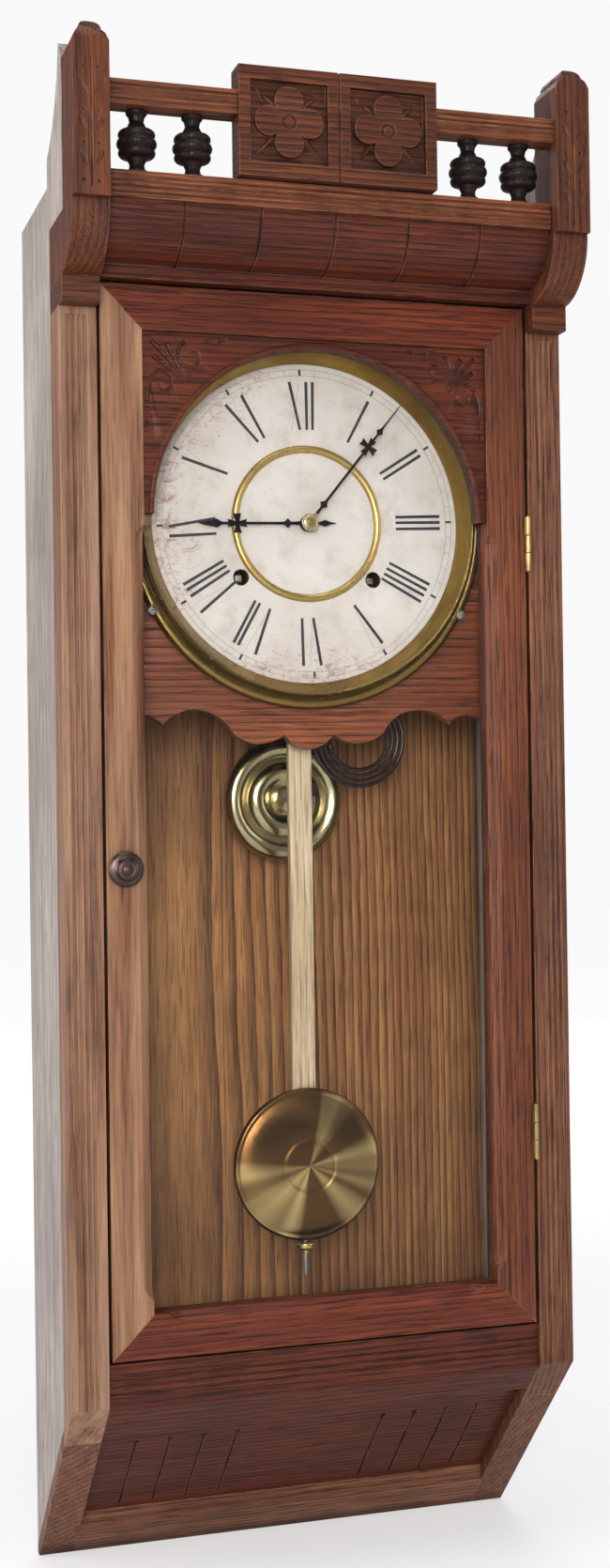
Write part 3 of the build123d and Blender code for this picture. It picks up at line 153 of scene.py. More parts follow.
def maths(tree, operation, first, second=0.0, clamp=False):
    node = add(tree, "Math", operation=operation, use_clamp=clamp)
    feed(tree, first, node.inputs[0])
    feed(tree, second, node.inputs[1])
    return node.outputs[0]


def blend(tree, amount, first, second, how="MIX"):
    node = add(tree, "Mix", data_type="RGBA", blend_type=how)
    feed(tree, amount, node.inputs[0])
    feed(tree, first, node.inputs[6])
    feed(tree, second, node.inputs[7])
    return node.outputs[2]


def ramp(tree, source, low, high):
    node = add(tree, "MapRange", clamp=True)
    feed(tree, source, node.inputs["Value"])
    node.inputs["From Min"].default_value = low
    node.inputs["From Max"].default_value = high
    return node.outputs["Result"]


def moved(tree, source, place=(0, 0, 0), turn=(0, 0, 0), scale=(1, 1, 1)):
    node = add(tree, "Mapping")
    node.inputs["Location"].default_value = place
    node.inputs["Rotation"].default_value = turn
    node.inputs["Scale"].default_value = scale
    tree.links.new(source, node.inputs["Vector"])
    return node.outputs[0]


def noise(tree, vector, scale, detail=3.0, rough=0.5, twist=0.0):
    node = add(tree, "TexNoise")
    tree.links.new(vector, node.inputs["Vector"])
    node.inputs["Scale"].default_value = scale
    node.inputs["Detail"].default_value = detail
    node.inputs["Roughness"].default_value = rough
    node.inputs["Distortion"].default_value = twist
    return node.outputs[0]


def rgb(red, green, blue):
    """A colour as a screen shows it, 0 to 255, turned linear."""
    return tuple((c / 255.0) ** 2.2 for c in (red, green, blue)) + (1.0,)


# ------------------------------------------------------------ shared effects
def build_wood_grain():
    """Open-pored timber whose grain runs along the vector's Z."""
    tree, entry, leave = new_group(
        "wood_grain",
        [("Vector", "NodeSocketVector", None), ("Light", "NodeSocketColor", None),
         ("Middle", "NodeSocketColor", None),
         ("Dark", "NodeSocketColor", None), ("Rings", "NodeSocketFloat", 0.5), ("Pores",
                                                                                "NodeSocketFloat", 0.6)],
        [("Color", "NodeSocketColor"), ("Roughness", "NodeSocketFloat"), ("Height", "NodeSocketFloat")])
    here = entry.outputs["Vector"]
    wander = noise(tree, moved(tree, here, scale=(1, 1, 0.25)), 14.0, 2.0)
    bend = add(tree, "VectorMath", operation="MULTIPLY_ADD")
    tree.links.new(wander, bend.inputs[0])
    bend.inputs[1].default_value = (0.005, 0.004, 0.0)
    tree.links.new(here, bend.inputs[2])
    soft = bend.outputs[0]
    tilted = moved(tree, soft, place=(0.035, 0.085, 0.0), turn=(0.0, 0.055, 0.0), scale=(1, 1, 0.16))
    wave = add(tree, "TexWave", wave_type="RINGS", rings_direction="Z", wave_profile="SAW")
    tree.links.new(tilted, wave.inputs["Vector"])
    wave.inputs["Scale"].default_value = 76.0
    wave.inputs["Distortion"].default_value = 1.1
    wave.inputs["Detail"].default_value = 3.0
    wave.inputs["Detail Scale"].default_value = 1.2
    rings = maths(tree, "POWER", wave.outputs["Fac"], 1.7)
    streaks = noise(tree, moved(tree, soft, scale=(1, 1, 0.03)), 130.0, 5.0, 0.62)
    fibres = noise(tree, moved(tree, soft, scale=(1, 1, 0.022)), 1500.0, 2.0, 0.6)
    dashes = noise(tree, moved(tree, soft, scale=(1, 1, 0.032)), 1050.0, 2.0, 0.6)
    early = maths(tree, "MULTIPLY_ADD", rings, 0.10)
    tree.nodes[-1].inputs[2].default_value = 0.0
    pores = ramp(tree, maths(tree, "ADD", dashes, early), 0.58, 0.67)
    blotch = noise(tree, here, 7.0, 3.0)
    colour = blend(tree, ramp(tree, streaks, 0.36, 0.66), entry.outputs["Light"], entry.outputs["Middle"])
    colour = blend(tree, maths(tree, "MULTIPLY", rings, entry.outputs["Rings"]), colour,
                   entry.outputs["Dark"])
    colour = blend(tree, ramp(tree, fibres, 0.25, 1.05), colour, entry.outputs["Dark"])
    deep = blend(tree, 0.62, entry.outputs["Dark"], (0.006, 0.003, 0.002, 1.0))
    colour = blend(tree, maths(tree, "MULTIPLY", pores, entry.outputs["Pores"]), colour, deep)
    colour = blend(tree, ramp(tree, blotch, 0.42, 0.78), colour,
                   blend(tree, 0.55, colour, entry.outputs["Dark"]))
    tree.links.new(colour, leave.inputs["Color"])
    rough = maths(tree, "MULTIPLY_ADD", pores, 0.25)
    tree.nodes[-1].inputs[2].default_value = 0.0
    rough = maths(tree, "ADD", rough, maths(tree, "MULTIPLY", streaks, 0.22))
    tree.links.new(rough, leave.inputs["Roughness"])
    height = maths(tree, "SUBTRACT", maths(tree, "MULTIPLY", fibres, 0.3), pores)
    height = maths(tree, "SUBTRACT", height, maths(tree, "MULTIPLY", rings, 0.25))
    tree.links.new(height, leave.inputs["Height"])
    return tree


def build_edges_dirt_and_shade():
    """Worn: 1 on rubbed edges. The second output: 1 in corners and recesses, from ambient occlusion broken up
    by a noise cloud, so dirt and painted shade together. Normal: the surface with its edges softened.
    """
    tree, entry, leave = new_group(
        "edges_dirt_and_shade",
        [("Vector", "NodeSocketVector", None)],
        [("Worn", "NodeSocketFloat"), ("Dirt_and_shade", "NodeSocketFloat"), ("Normal", "NodeSocketVector")])
    round_off = add(tree, "Bevel", samples=6)
    round_off.inputs["Radius"].default_value = 0.0011
    plain = add(tree, "NewGeometry")
    facing = add(tree, "VectorMath", operation="DOT_PRODUCT")
    tree.links.new(round_off.outputs[0], facing.inputs[0])
    tree.links.new(plain.outputs["Normal"], facing.inputs[1])
    off = maths(tree, "SUBTRACT", 1.0, facing.outputs["Value"], clamp=True)
    ragged = noise(tree, entry.outputs["Vector"], 55.0, 4.0, 0.7)
    worn = maths(tree, "MULTIPLY", ramp(tree, off, 0.02, 0.22), ramp(tree, ragged, 0.40, 0.62))
    tree.links.new(worn, leave.inputs["Worn"])
    # Ambient occlusion marks corners and recesses for painted shade as well as dirt.
    near = add(tree, "AmbientOcclusion", samples=6)
    near.inputs["Distance"].default_value = 0.011
    shut = maths(tree, "SUBTRACT", 1.0, near.outputs["AO"], clamp=True)
    cloud = noise(tree, entry.outputs["Vector"], 24.0, 3.0)
    tree.links.new(maths(tree, "MULTIPLY", ramp(tree, shut, 0.10, 0.75),
                         ramp(tree, cloud, 0.2, 0.6)), leave.inputs["Dirt_and_shade"])
    tree.links.new(round_off.outputs[0], leave.inputs["Normal"])
    return tree


def build_tarnish():
    """Patina clouds, fine scratches and spots on old metal."""
    tree, entry, leave = new_group(
        "tarnish",
        [("Vector", "NodeSocketVector", None), ("Bright", "NodeSocketColor", None),
         ("Dull", "NodeSocketColor", None),
         ("Amount", "NodeSocketFloat", 0.5)],
        [("Color", "NodeSocketColor"), ("Mask", "NodeSocketFloat"), ("Height", "NodeSocketFloat")])
    here = entry.outputs["Vector"]
    cloud = noise(tree, here, 38.0, 5.0, 0.65)
    spots = ramp(tree, noise(tree, here, 260.0, 2.0, 0.5), 0.63, 0.72)
    fine = noise(tree, here, 900.0, 3.0, 0.6)
    mask = maths(tree, "MULTIPLY", ramp(tree, cloud, 0.35, 0.70), entry.outputs["Amount"])
    mask = maths(tree, "MAXIMUM", mask, maths(tree, "MULTIPLY", spots, 0.55))
    tree.links.new(blend(tree, mask, entry.outputs["Bright"], entry.outputs["Dull"]), leave.inputs["Color"])
    tree.links.new(mask, leave.inputs["Mask"])
    tree.links.new(maths(tree, "ADD", fine, maths(tree, "MULTIPLY", mask, -0.6)), leave.inputs["Height"])
    return tree


WOOD_GRAIN = build_wood_grain()
EDGES = build_edges_dirt_and_shade()
TARNISH = build_tarnish()


# ------------------------------------------------------------ finishes
def start_material(name):
    material = bpy.data.materials.new(name)
    material.use_nodes = True
    tree = material.node_tree
    tree.nodes.clear()
    out = add(tree, "OutputMaterial")
    shader = add(tree, "BsdfPrincipled")
    tree.links.new(shader.outputs[0], out.inputs["Surface"])
    coords = add(tree, "TexCoord").outputs["Object"]
    return material, tree, shader, coords


def place_group(tree, group, vector, **values):
    node = add(tree, "Group", node_tree=group)
    tree.links.new(vector, node.inputs["Vector"])
    for key, value in values.items():
        feed(tree, value, node.inputs[key])
    return node


def raise_surface(tree, shader, height, depth, normal=None, strength=1.0):
    bump = add(tree, "Bump")
    bump.inputs["Strength"].default_value = strength
    bump.inputs["Distance"].default_value = depth
    tree.links.new(height, bump.inputs["Height"])
    if normal is not None:
        tree.links.new(normal, bump.inputs["Normal"])
    tree.links.new(bump.outputs[0], shader.inputs["Normal"])


GRAIN_TURN = {"Z": (0.0, 0.0, 0.0), "X": (0.0, math.pi / 2, 0.0), "Y": (math.pi / 2, 0.0, 0.0)}
RUBBED = rgb(186, 130, 86)
# Colour for corners and recesses: dirt and painted shade.
GRIME_AND_SHADE = rgb(34, 17, 12)
COAT_ROUGH = 0.24
WOOD_SPECULAR = 0.32
GRAIN_DEPTH = 0.00035
CARVED_FACE = -0.1286
# Depth span of the flower block's sunk ground, which its finish paints darker as shade.
FLOWER_GROUND_SHADE = (-0.1785, -0.1772)
BOB_Z = -0.6307


def timber(name, along, light, middle, dark, rings=0.5, pores=0.6, gloss=0.44, coat=0.08, worn=0.55,
           shift=(0.0, 0.0, 0.0), rubbed=RUBBED, tint=None):
    """A finished board. tint = (axis, from, to, colour) blends a second tone in across the piece: a paler
    painted sheen on the left stile and pilasters, a darker painted shade in carved hollows.
    """
    material, tree, shader, coords = start_material(name)
    vector = moved(tree, coords, place=shift, turn=GRAIN_TURN[along])
    grain = place_group(tree, WOOD_GRAIN, vector, Light=light, Middle=middle, Dark=dark,
                        Rings=rings, Pores=pores)
    edges = place_group(tree, EDGES, coords)
    colour = grain.outputs["Color"]
    if tint is not None:
        # The tint paints light into the colour: a paler sheen on the left stile and pilasters, a darker shade
        # in carved hollows.
        axis, low, high, tone = tint
        split = add(tree, "SeparateXYZ")
        tree.links.new(coords, split.inputs[0])
        painted_light_cover = ramp(tree, split.outputs["XYZ".index(axis)], low, high)
        streaky = noise(tree, moved(tree, vector, scale=(1, 1, 0.06)), 90.0, 4.0, 0.6)
        painted_light_cover = maths(tree, "MULTIPLY", painted_light_cover, ramp(tree, streaky, 0.30, 0.70))
        colour = blend(tree, painted_light_cover, colour, blend(tree, 0.6, colour, tone))
    colour = blend(tree, maths(tree, "MULTIPLY", edges.outputs["Worn"], worn), colour, rubbed)
    # Corners and recesses darkened: dirt and painted shade.
    colour = blend(tree, maths(tree, "MULTIPLY", edges.outputs["Dirt_and_shade"], 0.7), colour, GRIME_AND_SHADE)
    tree.links.new(colour, shader.inputs["Base Color"])
    rough = maths(tree, "ADD", grain.outputs["Roughness"], gloss - 0.12)
    rough = maths(tree, "ADD", rough, maths(tree, "MULTIPLY", edges.outputs["Dirt_and_shade"], 0.25), clamp=True)
    tree.links.new(rough, shader.inputs["Roughness"])
    shader.inputs["Coat Weight"].default_value = coat
    shader.inputs["Coat Roughness"].default_value = COAT_ROUGH
    shader.inputs["Specular IOR Level"].default_value = WOOD_SPECULAR
    raise_surface(tree, shader, grain.outputs["Height"], GRAIN_DEPTH, edges.outputs["Normal"], 0.75)
    return material


def metal(name, bright, dull, amount=0.5, polish=0.22, rough_dull=0.5, depth=0.00004, worn=0.4,
          spin=0.0, painted_sheen_fans=None):
    """Old metal. spin above 0 gives the shine of a face turned on a lathe about Y.

    The last argument, (centre height, dark tone, light tone), paints soft fans of sheen round that centre: a
    painted reflection, fixed to the piece.
    """
    material, tree, shader, coords = start_material(name)
    patina = place_group(tree, TARNISH, coords, Bright=bright, Dull=dull, Amount=amount)
    edges = place_group(tree, EDGES, coords)
    colour = blend(tree, maths(tree, "MULTIPLY", edges.outputs["Worn"], worn),
                   patina.outputs["Color"], bright)
    # Corners and recesses darkened: dirt and painted shade.
    colour = blend(tree, maths(tree, "MULTIPLY", edges.outputs["Dirt_and_shade"], 0.75), colour, GRIME_AND_SHADE)
    if painted_sheen_fans is not None:
        # Painted reflection: light and dark fans of sheen round the centre, fixed to the piece.
        height, deep, pale = painted_sheen_fans
        flat = moved(tree, coords, place=(0.0, 0.0, -height), scale=(1, 0, 1))
        spoke = add(tree, "VectorMath", operation="NORMALIZE")
        tree.links.new(flat, spoke.inputs[0])
        fans = noise(tree, spoke.outputs[0], 1.25, 2.0, 0.45)
        sheen = blend(tree, ramp(tree, fans, 0.50, 0.66), deep, pale)
        colour = blend(tree, 0.8, colour, sheen)
    tree.links.new(colour, shader.inputs["Base Color"])
    metallic = maths(tree, "SUBTRACT", 1.0, maths(tree, "MULTIPLY", edges.outputs["Dirt_and_shade"], 0.5))
    tree.links.new(metallic, shader.inputs["Metallic"])
    rough = maths(tree, "MULTIPLY_ADD", patina.outputs["Mask"], rough_dull - polish)
    tree.nodes[-1].inputs[2].default_value = polish
    tree.links.new(rough, shader.inputs["Roughness"])
    if spin > 0:
        shader.inputs["Anisotropic"].default_value = spin
        around = add(tree, "Tangent", direction_type="RADIAL", axis="Y")
        tree.links.new(around.outputs[0], shader.inputs["Tangent"])
    raise_surface(tree, shader, patina.outputs["Height"], depth, edges.outputs["Normal"], 0.6)
    return material


OAK_RED = dict(light=rgb(140, 66, 38), middle=rgb(112, 48, 27), dark=rgb(54, 18, 9))
OAK_BROWN = dict(light=rgb(158, 104, 74), middle=rgb(122, 74, 52), dark=rgb(58, 30, 20))
OAK_STILE = dict(light=rgb(150, 86, 54), middle=rgb(118, 62, 38), dark=rgb(54, 24, 14))
OAK_GREY = dict(light=rgb(208, 199, 192), middle=rgb(176, 165, 158), dark=rgb(108, 92, 84))
ASH = dict(light=rgb(186, 134, 82), middle=rgb(152, 100, 58), dark=rgb(66, 36, 18))
OAK_WORN = dict(light=rgb(126, 70, 42), middle=rgb(100, 52, 31), dark=rgb(44, 19, 10))
OAK_DEEP = dict(light=rgb(118, 54, 30), middle=rgb(96, 40, 22), dark=rgb(40, 14, 8))

WOODS = {
    # The pale tint towards the left of the stiles is a painted sheen.
    "door_stiles": timber("oak_stiles", "Z", rings=0.45, pores=0.75, shift=(0.013, 0.0, 0.2),
                          tint=("X", -0.02, -0.06, rgb(200, 158, 120)), worn=0.7, **OAK_STILE),
    "door_rails": timber("oak_door_rails", "X", rings=0.5, pores=0.7, shift=(0.3, 0.02, 0.01), **OAK_RED),
    # The dark tint below the carved face is painted shade in the grooves.
    "door_spandrel": timber("oak_spandrel", "X", rings=0.4, pores=0.7, shift=(0.1, 0.05, 0.0), worn=0.35,
                            tint=("Y", -0.12855, -0.1280, rgb(34, 17, 12)), **OAK_DEEP),
    # The pale tint on the left pilaster is a painted sheen.
    "pilasters": timber("oak_pilasters", "Z", rings=0.5, pores=0.7, shift=(0.06, 0.0, 0.5),
                        tint=("X", 0.0, -0.02, rgb(184, 146, 118)), worn=0.9, **OAK_BROWN),
    "capital_blocks": timber("oak_capitals", "X", shift=(0.0, 0.1, 0.3), worn=0.5, **OAK_WORN),
    "cornice_brackets": timber("oak_brackets", "Z", shift=(0.2, 0.1, 0.3), worn=0.5, **OAK_WORN),
    "gallery_posts": timber("oak_posts", "Z", rings=0.6, pores=0.7, shift=(0.1, 0.03, 0.1),
                            worn=0.6, **OAK_WORN),
    "gallery_rail_lower": timber("oak_gallery_low", "X", shift=(0.5, 0.03, 0.1), worn=1.0, **OAK_STILE),
    "gallery_rail_upper": timber("oak_gallery_high", "X", shift=(0.7, 0.03, 0.2), worn=1.0, **OAK_STILE),
    # The dark tint on the sunk ground is painted shade.
    "flower_block": timber("oak_flower", "X", rings=0.75, pores=0.75, shift=(0.4, 0.03, 0.15), worn=0.6,
                           tint=("Y", *FLOWER_GROUND_SHADE, rgb(62, 32, 20)), **OAK_WORN),
    "cornice": timber("oak_cornice", "X", rings=0.7, pores=0.7, shift=(0.2, 0.01, 0.25), worn=0.6,
                      **OAK_DEEP),
    "lower_rail": timber("oak_lower_rail", "X", rings=0.6, pores=0.7, shift=(0.9, 0.01, 0.25), **OAK_DEEP),
    "apron_panel": timber("oak_apron", "X", rings=0.6, pores=0.7, shift=(0.15, 0.2, 0.05), **OAK_DEEP),
    "apron_side_strips": timber("oak_apron_sides", "Z", shift=(0.25, 0.2, 0.05), worn=0.9, **OAK_BROWN),
    "apron_bottom_rail": timber("oak_apron_foot", "X", shift=(0.35, 0.2, 0.05), worn=1.0, **OAK_BROWN),
    "side_board_left": timber("oak_side_left", "Z", rings=0.35, pores=0.5, gloss=0.6, coat=0.0,
                              shift=(0.2, 0.15, 0.05), worn=0.7, rubbed=rgb(206, 190, 172), **OAK_GREY),
    "side_board_right": timber("oak_side_right", "Z", rings=0.35, pores=0.5, gloss=0.6, coat=0.0,
                               shift=(0.6, 0.35, 0.05), worn=0.7, rubbed=rgb(206, 190, 172), **OAK_GREY),
    "case_top_board": timber("oak_top_board", "X", gloss=0.65, coat=0.0, shift=(0.1, 0.15, 0.4), **OAK_GREY),
    "back_boards": timber("ash_boards", "Z", rings=0.85, pores=0.5, gloss=0.55, coat=0.05,
                          shift=(0.035, 0.06, 0.1), worn=0.2, **ASH),
    "dial_board": timber("oak_dial_board", "X", rings=0.75, pores=0.75, gloss=0.5, coat=0.12,
                         shift=(0.2, 0.06, 0.31),
                         light=rgb(152, 84, 46), middle=rgb(126, 62, 33), dark=rgb(58, 24, 10)),
    "gong_base": timber("beech_gong_base", "Z", light=rgb(96, 50, 36), middle=rgb(74, 36, 28),
                        dark=rgb(36, 16, 12)),
    "gallery_spindles": timber("stained_spindles", "Z", rings=0.2, pores=0.3, gloss=0.42, coat=0.03, worn=0.5,
                               light=rgb(40, 21, 17), middle=rgb(26, 13, 12), dark=rgb(14, 7, 7),
                               rubbed=rgb(140, 86, 62)),
    "pendulum_stick": timber("pale_stick", "Z", rings=0.25, pores=0.45, gloss=0.7, coat=0.0,
                             shift=(0.3, 0.1, 0.0),
                             worn=0.3, rubbed=rgb(240, 226, 204), light=rgb(222, 204, 178),
                             middle=rgb(194, 170, 140), dark=rgb(128, 98, 72)),
}

BRASS = metal("old_brass", rgb(214, 184, 116), rgb(120, 92, 48), 0.55, 0.24, 0.42)
BRASS_BEZEL = metal("bezel_brass", rgb(162, 134, 76), rgb(104, 80, 42), 0.6, 0.2, 0.34, spin=0.6)
# The bob's light fans are a painted reflection, fixed to the bob.
BRASS_BOB = metal("bob_brass", rgb(150, 112, 70), rgb(104, 74, 44), 0.35, 0.17, 0.26, spin=0.8,
                  painted_sheen_fans=(BOB_Z, rgb(92, 64, 38), rgb(238, 206, 142)))
BRASS_GONG = metal("gong_brass", rgb(206, 190, 146), rgb(124, 108, 76), 0.55, 0.15, 0.28)
STEEL = metal("dull_steel", rgb(196, 192, 186), rgb(112, 102, 94), 0.5, 0.3, 0.55)
BLUED = metal("dark_steel_wire", rgb(92, 80, 80), rgb(42, 34, 36), 0.6, 0.22, 0.45)
KNOB = metal("bronzed_knob", rgb(104, 88, 84), rgb(38, 30, 30), 0.7, 0.26, 0.5, worn=0.9)
HINGES = metal("hinge_brass", rgb(206, 178, 116), rgb(88, 66, 40), 0.75, 0.28, 0.5, worn=0.8)
BLACK_HANDS = metal("black_hands", rgb(40, 38, 44), rgb(16, 14, 18), 0.5, 0.42, 0.6, worn=0.35)


def make_glass():
    material, tree, shader, coords = start_material("door_pane")
    film = ramp(tree, noise(tree, coords, 11.0, 4.0, 0.6), 0.35, 0.8)
    rough = maths(tree, "MULTIPLY", film, 0.05)
    tree.links.new(rough, shader.inputs["Roughness"])
    shader.inputs["Base Color"].default_value = (0.97, 0.985, 0.975, 1.0)
    shader.inputs["Transmission Weight"].default_value = 1.0
    shader.inputs["IOR"].default_value = 1.22
    clear = add(tree, "BsdfTransparent")
    clear.inputs[0].default_value = (0.97, 0.985, 0.975, 1.0)
    path = add(tree, "LightPath")
    mix = add(tree, "MixShader")
    out = next(node for node in tree.nodes if node.bl_idname == "ShaderNodeOutputMaterial")
    tree.links.new(path.outputs["Is Shadow Ray"], mix.inputs[0])
    tree.links.new(shader.outputs[0], mix.inputs[1])
    tree.links.new(clear.outputs[0], mix.inputs[2])
    tree.links.new(mix.outputs[0], out.inputs["Surface"])
    return material


DIAL_Z = -0.220


def make_dial_paint():
    """Aged off-white paper on zinc: brown flaking at the left, at the foot and by the top left."""
    material, tree, shader, coords = start_material("aged_dial")
    centred = moved(tree, coords, place=(0.0, 0.0, -DIAL_Z))
    cloud = noise(tree, centred, 16.0, 5.0, 0.6)
    base = blend(tree, ramp(tree, cloud, 0.35, 0.72), rgb(186, 178, 174), rgb(170, 160, 153))
    mottle = noise(tree, centred, 62.0, 6.0, 0.75)
    base = blend(tree, ramp(tree, mottle, 0.50, 0.80), base, rgb(160, 144, 136))
    freckle = noise(tree, moved(tree, centred, scale=(0.6, 1, 1.3)), 420.0, 4.0, 0.75)
    chips = noise(tree, moved(tree, centred, scale=(0.8, 1, 1.5)), 95.0, 6.0, 0.8, 1.5)
    split = add(tree, "SeparateXYZ")
    tree.links.new(centred, split.inputs[0])
    wide, high = split.outputs[0], split.outputs[2]
    left = ramp(tree, maths(tree, "MULTIPLY", wide, -1.0), 0.045, 0.095)
    foot = ramp(tree, maths(tree, "MULTIPLY", high, -1.0), 0.045, 0.10)
    corner = ramp(tree, maths(tree, "SUBTRACT", high, wide), 0.085, 0.125)
    region = maths(tree, "MAXIMUM", maths(tree, "MAXIMUM", left, foot), maths(tree, "MULTIPLY", corner, 0.9))
    limit = maths(tree, "SUBTRACT", 0.665, maths(tree, "MULTIPLY", region, 0.155))
    flake = maths(tree, "MULTIPLY", maths(tree, "SUBTRACT", chips, limit, clamp=True), 9.0, clamp=True)
    speck = maths(tree, "MULTIPLY", maths(tree, "SUBTRACT", freckle,
                                          maths(tree, "ADD", limit, 0.01), clamp=True), 8.0, clamp=True)
    marks = maths(tree, "MAXIMUM", flake, speck)
    edges = place_group(tree, EDGES, coords)
    colour = blend(tree, maths(tree, "MULTIPLY", region, 0.35), base, rgb(178, 162, 154))
    colour = blend(tree, maths(tree, "MULTIPLY", marks, 0.8), colour, rgb(120, 86, 78))
    # Darker next to the bezel and other near parts: dirt and painted shade.
    colour = blend(tree, maths(tree, "MULTIPLY", edges.outputs["Dirt_and_shade"], 0.45), colour, rgb(120, 96, 78))
    tree.links.new(colour, shader.inputs["Base Color"])
    tree.links.new(maths(tree, "MULTIPLY_ADD", marks, 0.2), shader.inputs["Roughness"])
    tree.nodes[-1].inputs[2].default_value = 0.5
    raise_surface(tree, shader, maths(tree, "SUBTRACT", cloud, marks), 0.00006, None, 0.6)
    return material


def make_ink(name, colour, faded):
    material, tree, shader, coords = start_material(name)
    patchy = ramp(tree, noise(tree, coords, 500.0, 4.0, 0.7), 0.52, 0.75)
    tree.links.new(blend(tree, patchy, colour, faded), shader.inputs["Base Color"])
    tree.links.new(maths(tree, "ADD", maths(tree, "MULTIPLY", patchy, 0.25), 0.45),
                   shader.inputs["Roughness"])
    raise_surface(tree, shader, patchy, 0.00002)
    return material


PANE = make_glass()
DIAL_PAINT = make_dial_paint()
INK = make_ink("black_ink", rgb(22, 24, 30), rgb(58, 56, 60))
GREY_INK = make_ink("grey_ink", rgb(112, 108, 110), rgb(158, 152, 150))

METALS = {
    BRASS: ("movement_front_plate", "movement_back_plate", "movement_pillars_and_nuts",
            "centre_wheel", "hour_wheel",
            "minute_wheel", "time_second_wheel", "time_great_wheel", "third_wheel", "escape_wheel",
            "strike_great_wheel", "strike_pin_wheel", "strike_fly", "rating_nut", "dial_centre_ring"),
    BRASS_BEZEL: ("dial_bezel",),
    BRASS_BOB: ("pendulum_bob",),
    BRASS_GONG: ("gong_cover",),
    STEEL: ("verge_and_crutch", "pendulum_suspension_and_rod", "time_winding_arbor", "strike_winding_arbor",
            "strike_hammer", "hanger_plate", "hanger_screws", "bezel_screws"),
    BLUED: ("gong_coil_and_block", "mainsprings"),
    KNOB: ("door_knob_and_tongue",),
    HINGES: ("hinge_leaves_door", "hinge_leaves_case_and_pins"),
    BLACK_HANDS: ("hour_hand", "minute_hand"),
    PANE: ("door_glass",),
    DIAL_PAINT: ("dial_pan",),
}


def finish_node(node, material):
    mesh = NODES[node].data
    mesh.materials.clear()
    mesh.materials.append(material)


for node, material in WOODS.items():
    finish_node(node, material)
for material, names in METALS.items():
    for node in names:
        finish_node(node, material)
finish_node("hand_washer_and_pin", metal("pale_brass", rgb(236, 220, 180), rgb(176, 152, 104), 0.4, 0.2, 0.4))
finish_node("door_glass_beads", WOODS["door_spandrel"])


# ------------------------------------------------------------ modelling helpers
def fresh():
    if bpy.context.mode != "OBJECT":
        bpy.ops.object.mode_set(mode="OBJECT")
    bpy.ops.object.select_all(action="DESELECT")


def keep_only(obj):
    fresh()
    obj.select_set(True)
    bpy.context.view_layer.objects.active = obj


def seat(obj):
    """Put the object's place and turn into its mesh."""
    keep_only(obj)
    bpy.ops.object.transform_apply(location=True, rotation=True, scale=True)


def join(parts, name):
    fresh()
    for part in parts:
        part.select_set(True)
    bpy.context.view_layer.objects.active = parts[0]
    bpy.ops.object.join()
    parts[0].name = name
    parts[0].data.name = name
    return parts[0]


def dress(obj, material, body):
    obj.data.materials.clear()
    obj.data.materials.append(material)
    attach(obj, body)
    return obj


# ------------------------------------------------------------ printed dial
DIAL_FACE = -0.1025
DIAL_TURN = -2.25
INK_THICK = 0.00012
STROKE_OUT, STROKE_IN = 0.0905, 0.0600
STROKE_WIDE = 0.0020
NUMERALS = {
    0: ((-7.2, -1.5), (4.0, 3.1), (8.3, 6.9)),
    1: ((0.2, 0.0),),
    2: ((-2.2, -2.0), (2.0, 2.2)),
    3: ((-3.8, -3.6), (0.1, 0.0), (4.1, 4.0)),
    4: ((-5.6, -4.8), (-1.5, -0.8), (2.6, 3.1), (7.2, 6.7)),
    5: ((-1.9, 1.2),),
    6: ((-4.8, -1.0), (7.1, 6.5)),
    7: ((-7.7, -3.1), (5.0, 4.4), (8.2, 7.8)),
    8: ((-11.1, -6.5), (0.8, 1.4), (5.4, 5.0), (9.4, 8.6)),
    9: ((-6.6, -5.4), (-0.6, 4.2)),
    10: ((-3.1, 2.5),),
    11: ((-5.4, 0.5), (6.9, 5.4)),
}
HAIRLINES = {0: (-0.6, -7.0), 5: (5.0, 2.0), 6: (2.4, -0.6), 7: (-0.6, -2.8), 8: (-4.4, -6.2), 9: (4.4, -0.4),
             10: (3.2, -3.0), 11: (0.8, -5.2)}


def stroke(angle, out_r, in_r, out_t, in_t, width, taper=0.85):
    """One printed stroke. out_t and in_t are sideways offsets from the numeral's axis, clockwise positive."""
    turn = math.radians(angle)
    away = Vector((math.sin(turn), 0.0, math.cos(turn)))
    clockwise = Vector((math.cos(turn), 0.0, -math.sin(turn)))
    centre = Vector((0.0, DIAL_FACE - INK_THICK / 2, DIAL_Z))
    outer = centre + away * out_r + clockwise * out_t
    inner = centre + away * in_r + clockwise * in_t
    run = outer - inner
    fresh()
    bpy.ops.mesh.primitive_cube_add(size=1.0, location=(outer + inner) / 2,
                                    rotation=(0.0, math.atan2(run.x, run.z), 0.0))
    bar = bpy.context.object
    bar.scale = (width, INK_THICK, run.length)
    seat(bar)
    bpy.ops.object.mode_set(mode="EDIT")
    bpy.ops.mesh.select_all(action="DESELECT")
    bpy.ops.object.mode_set(mode="OBJECT")
    for vertex in bar.data.vertices:
        vertex.select = (vertex.co - inner).length < (vertex.co - outer).length
    bpy.ops.object.mode_set(mode="EDIT")
    bpy.ops.transform.resize(value=(taper, 1.0, taper), center_override=inner)
    bpy.ops.object.mode_set(mode="OBJECT")
    return bar


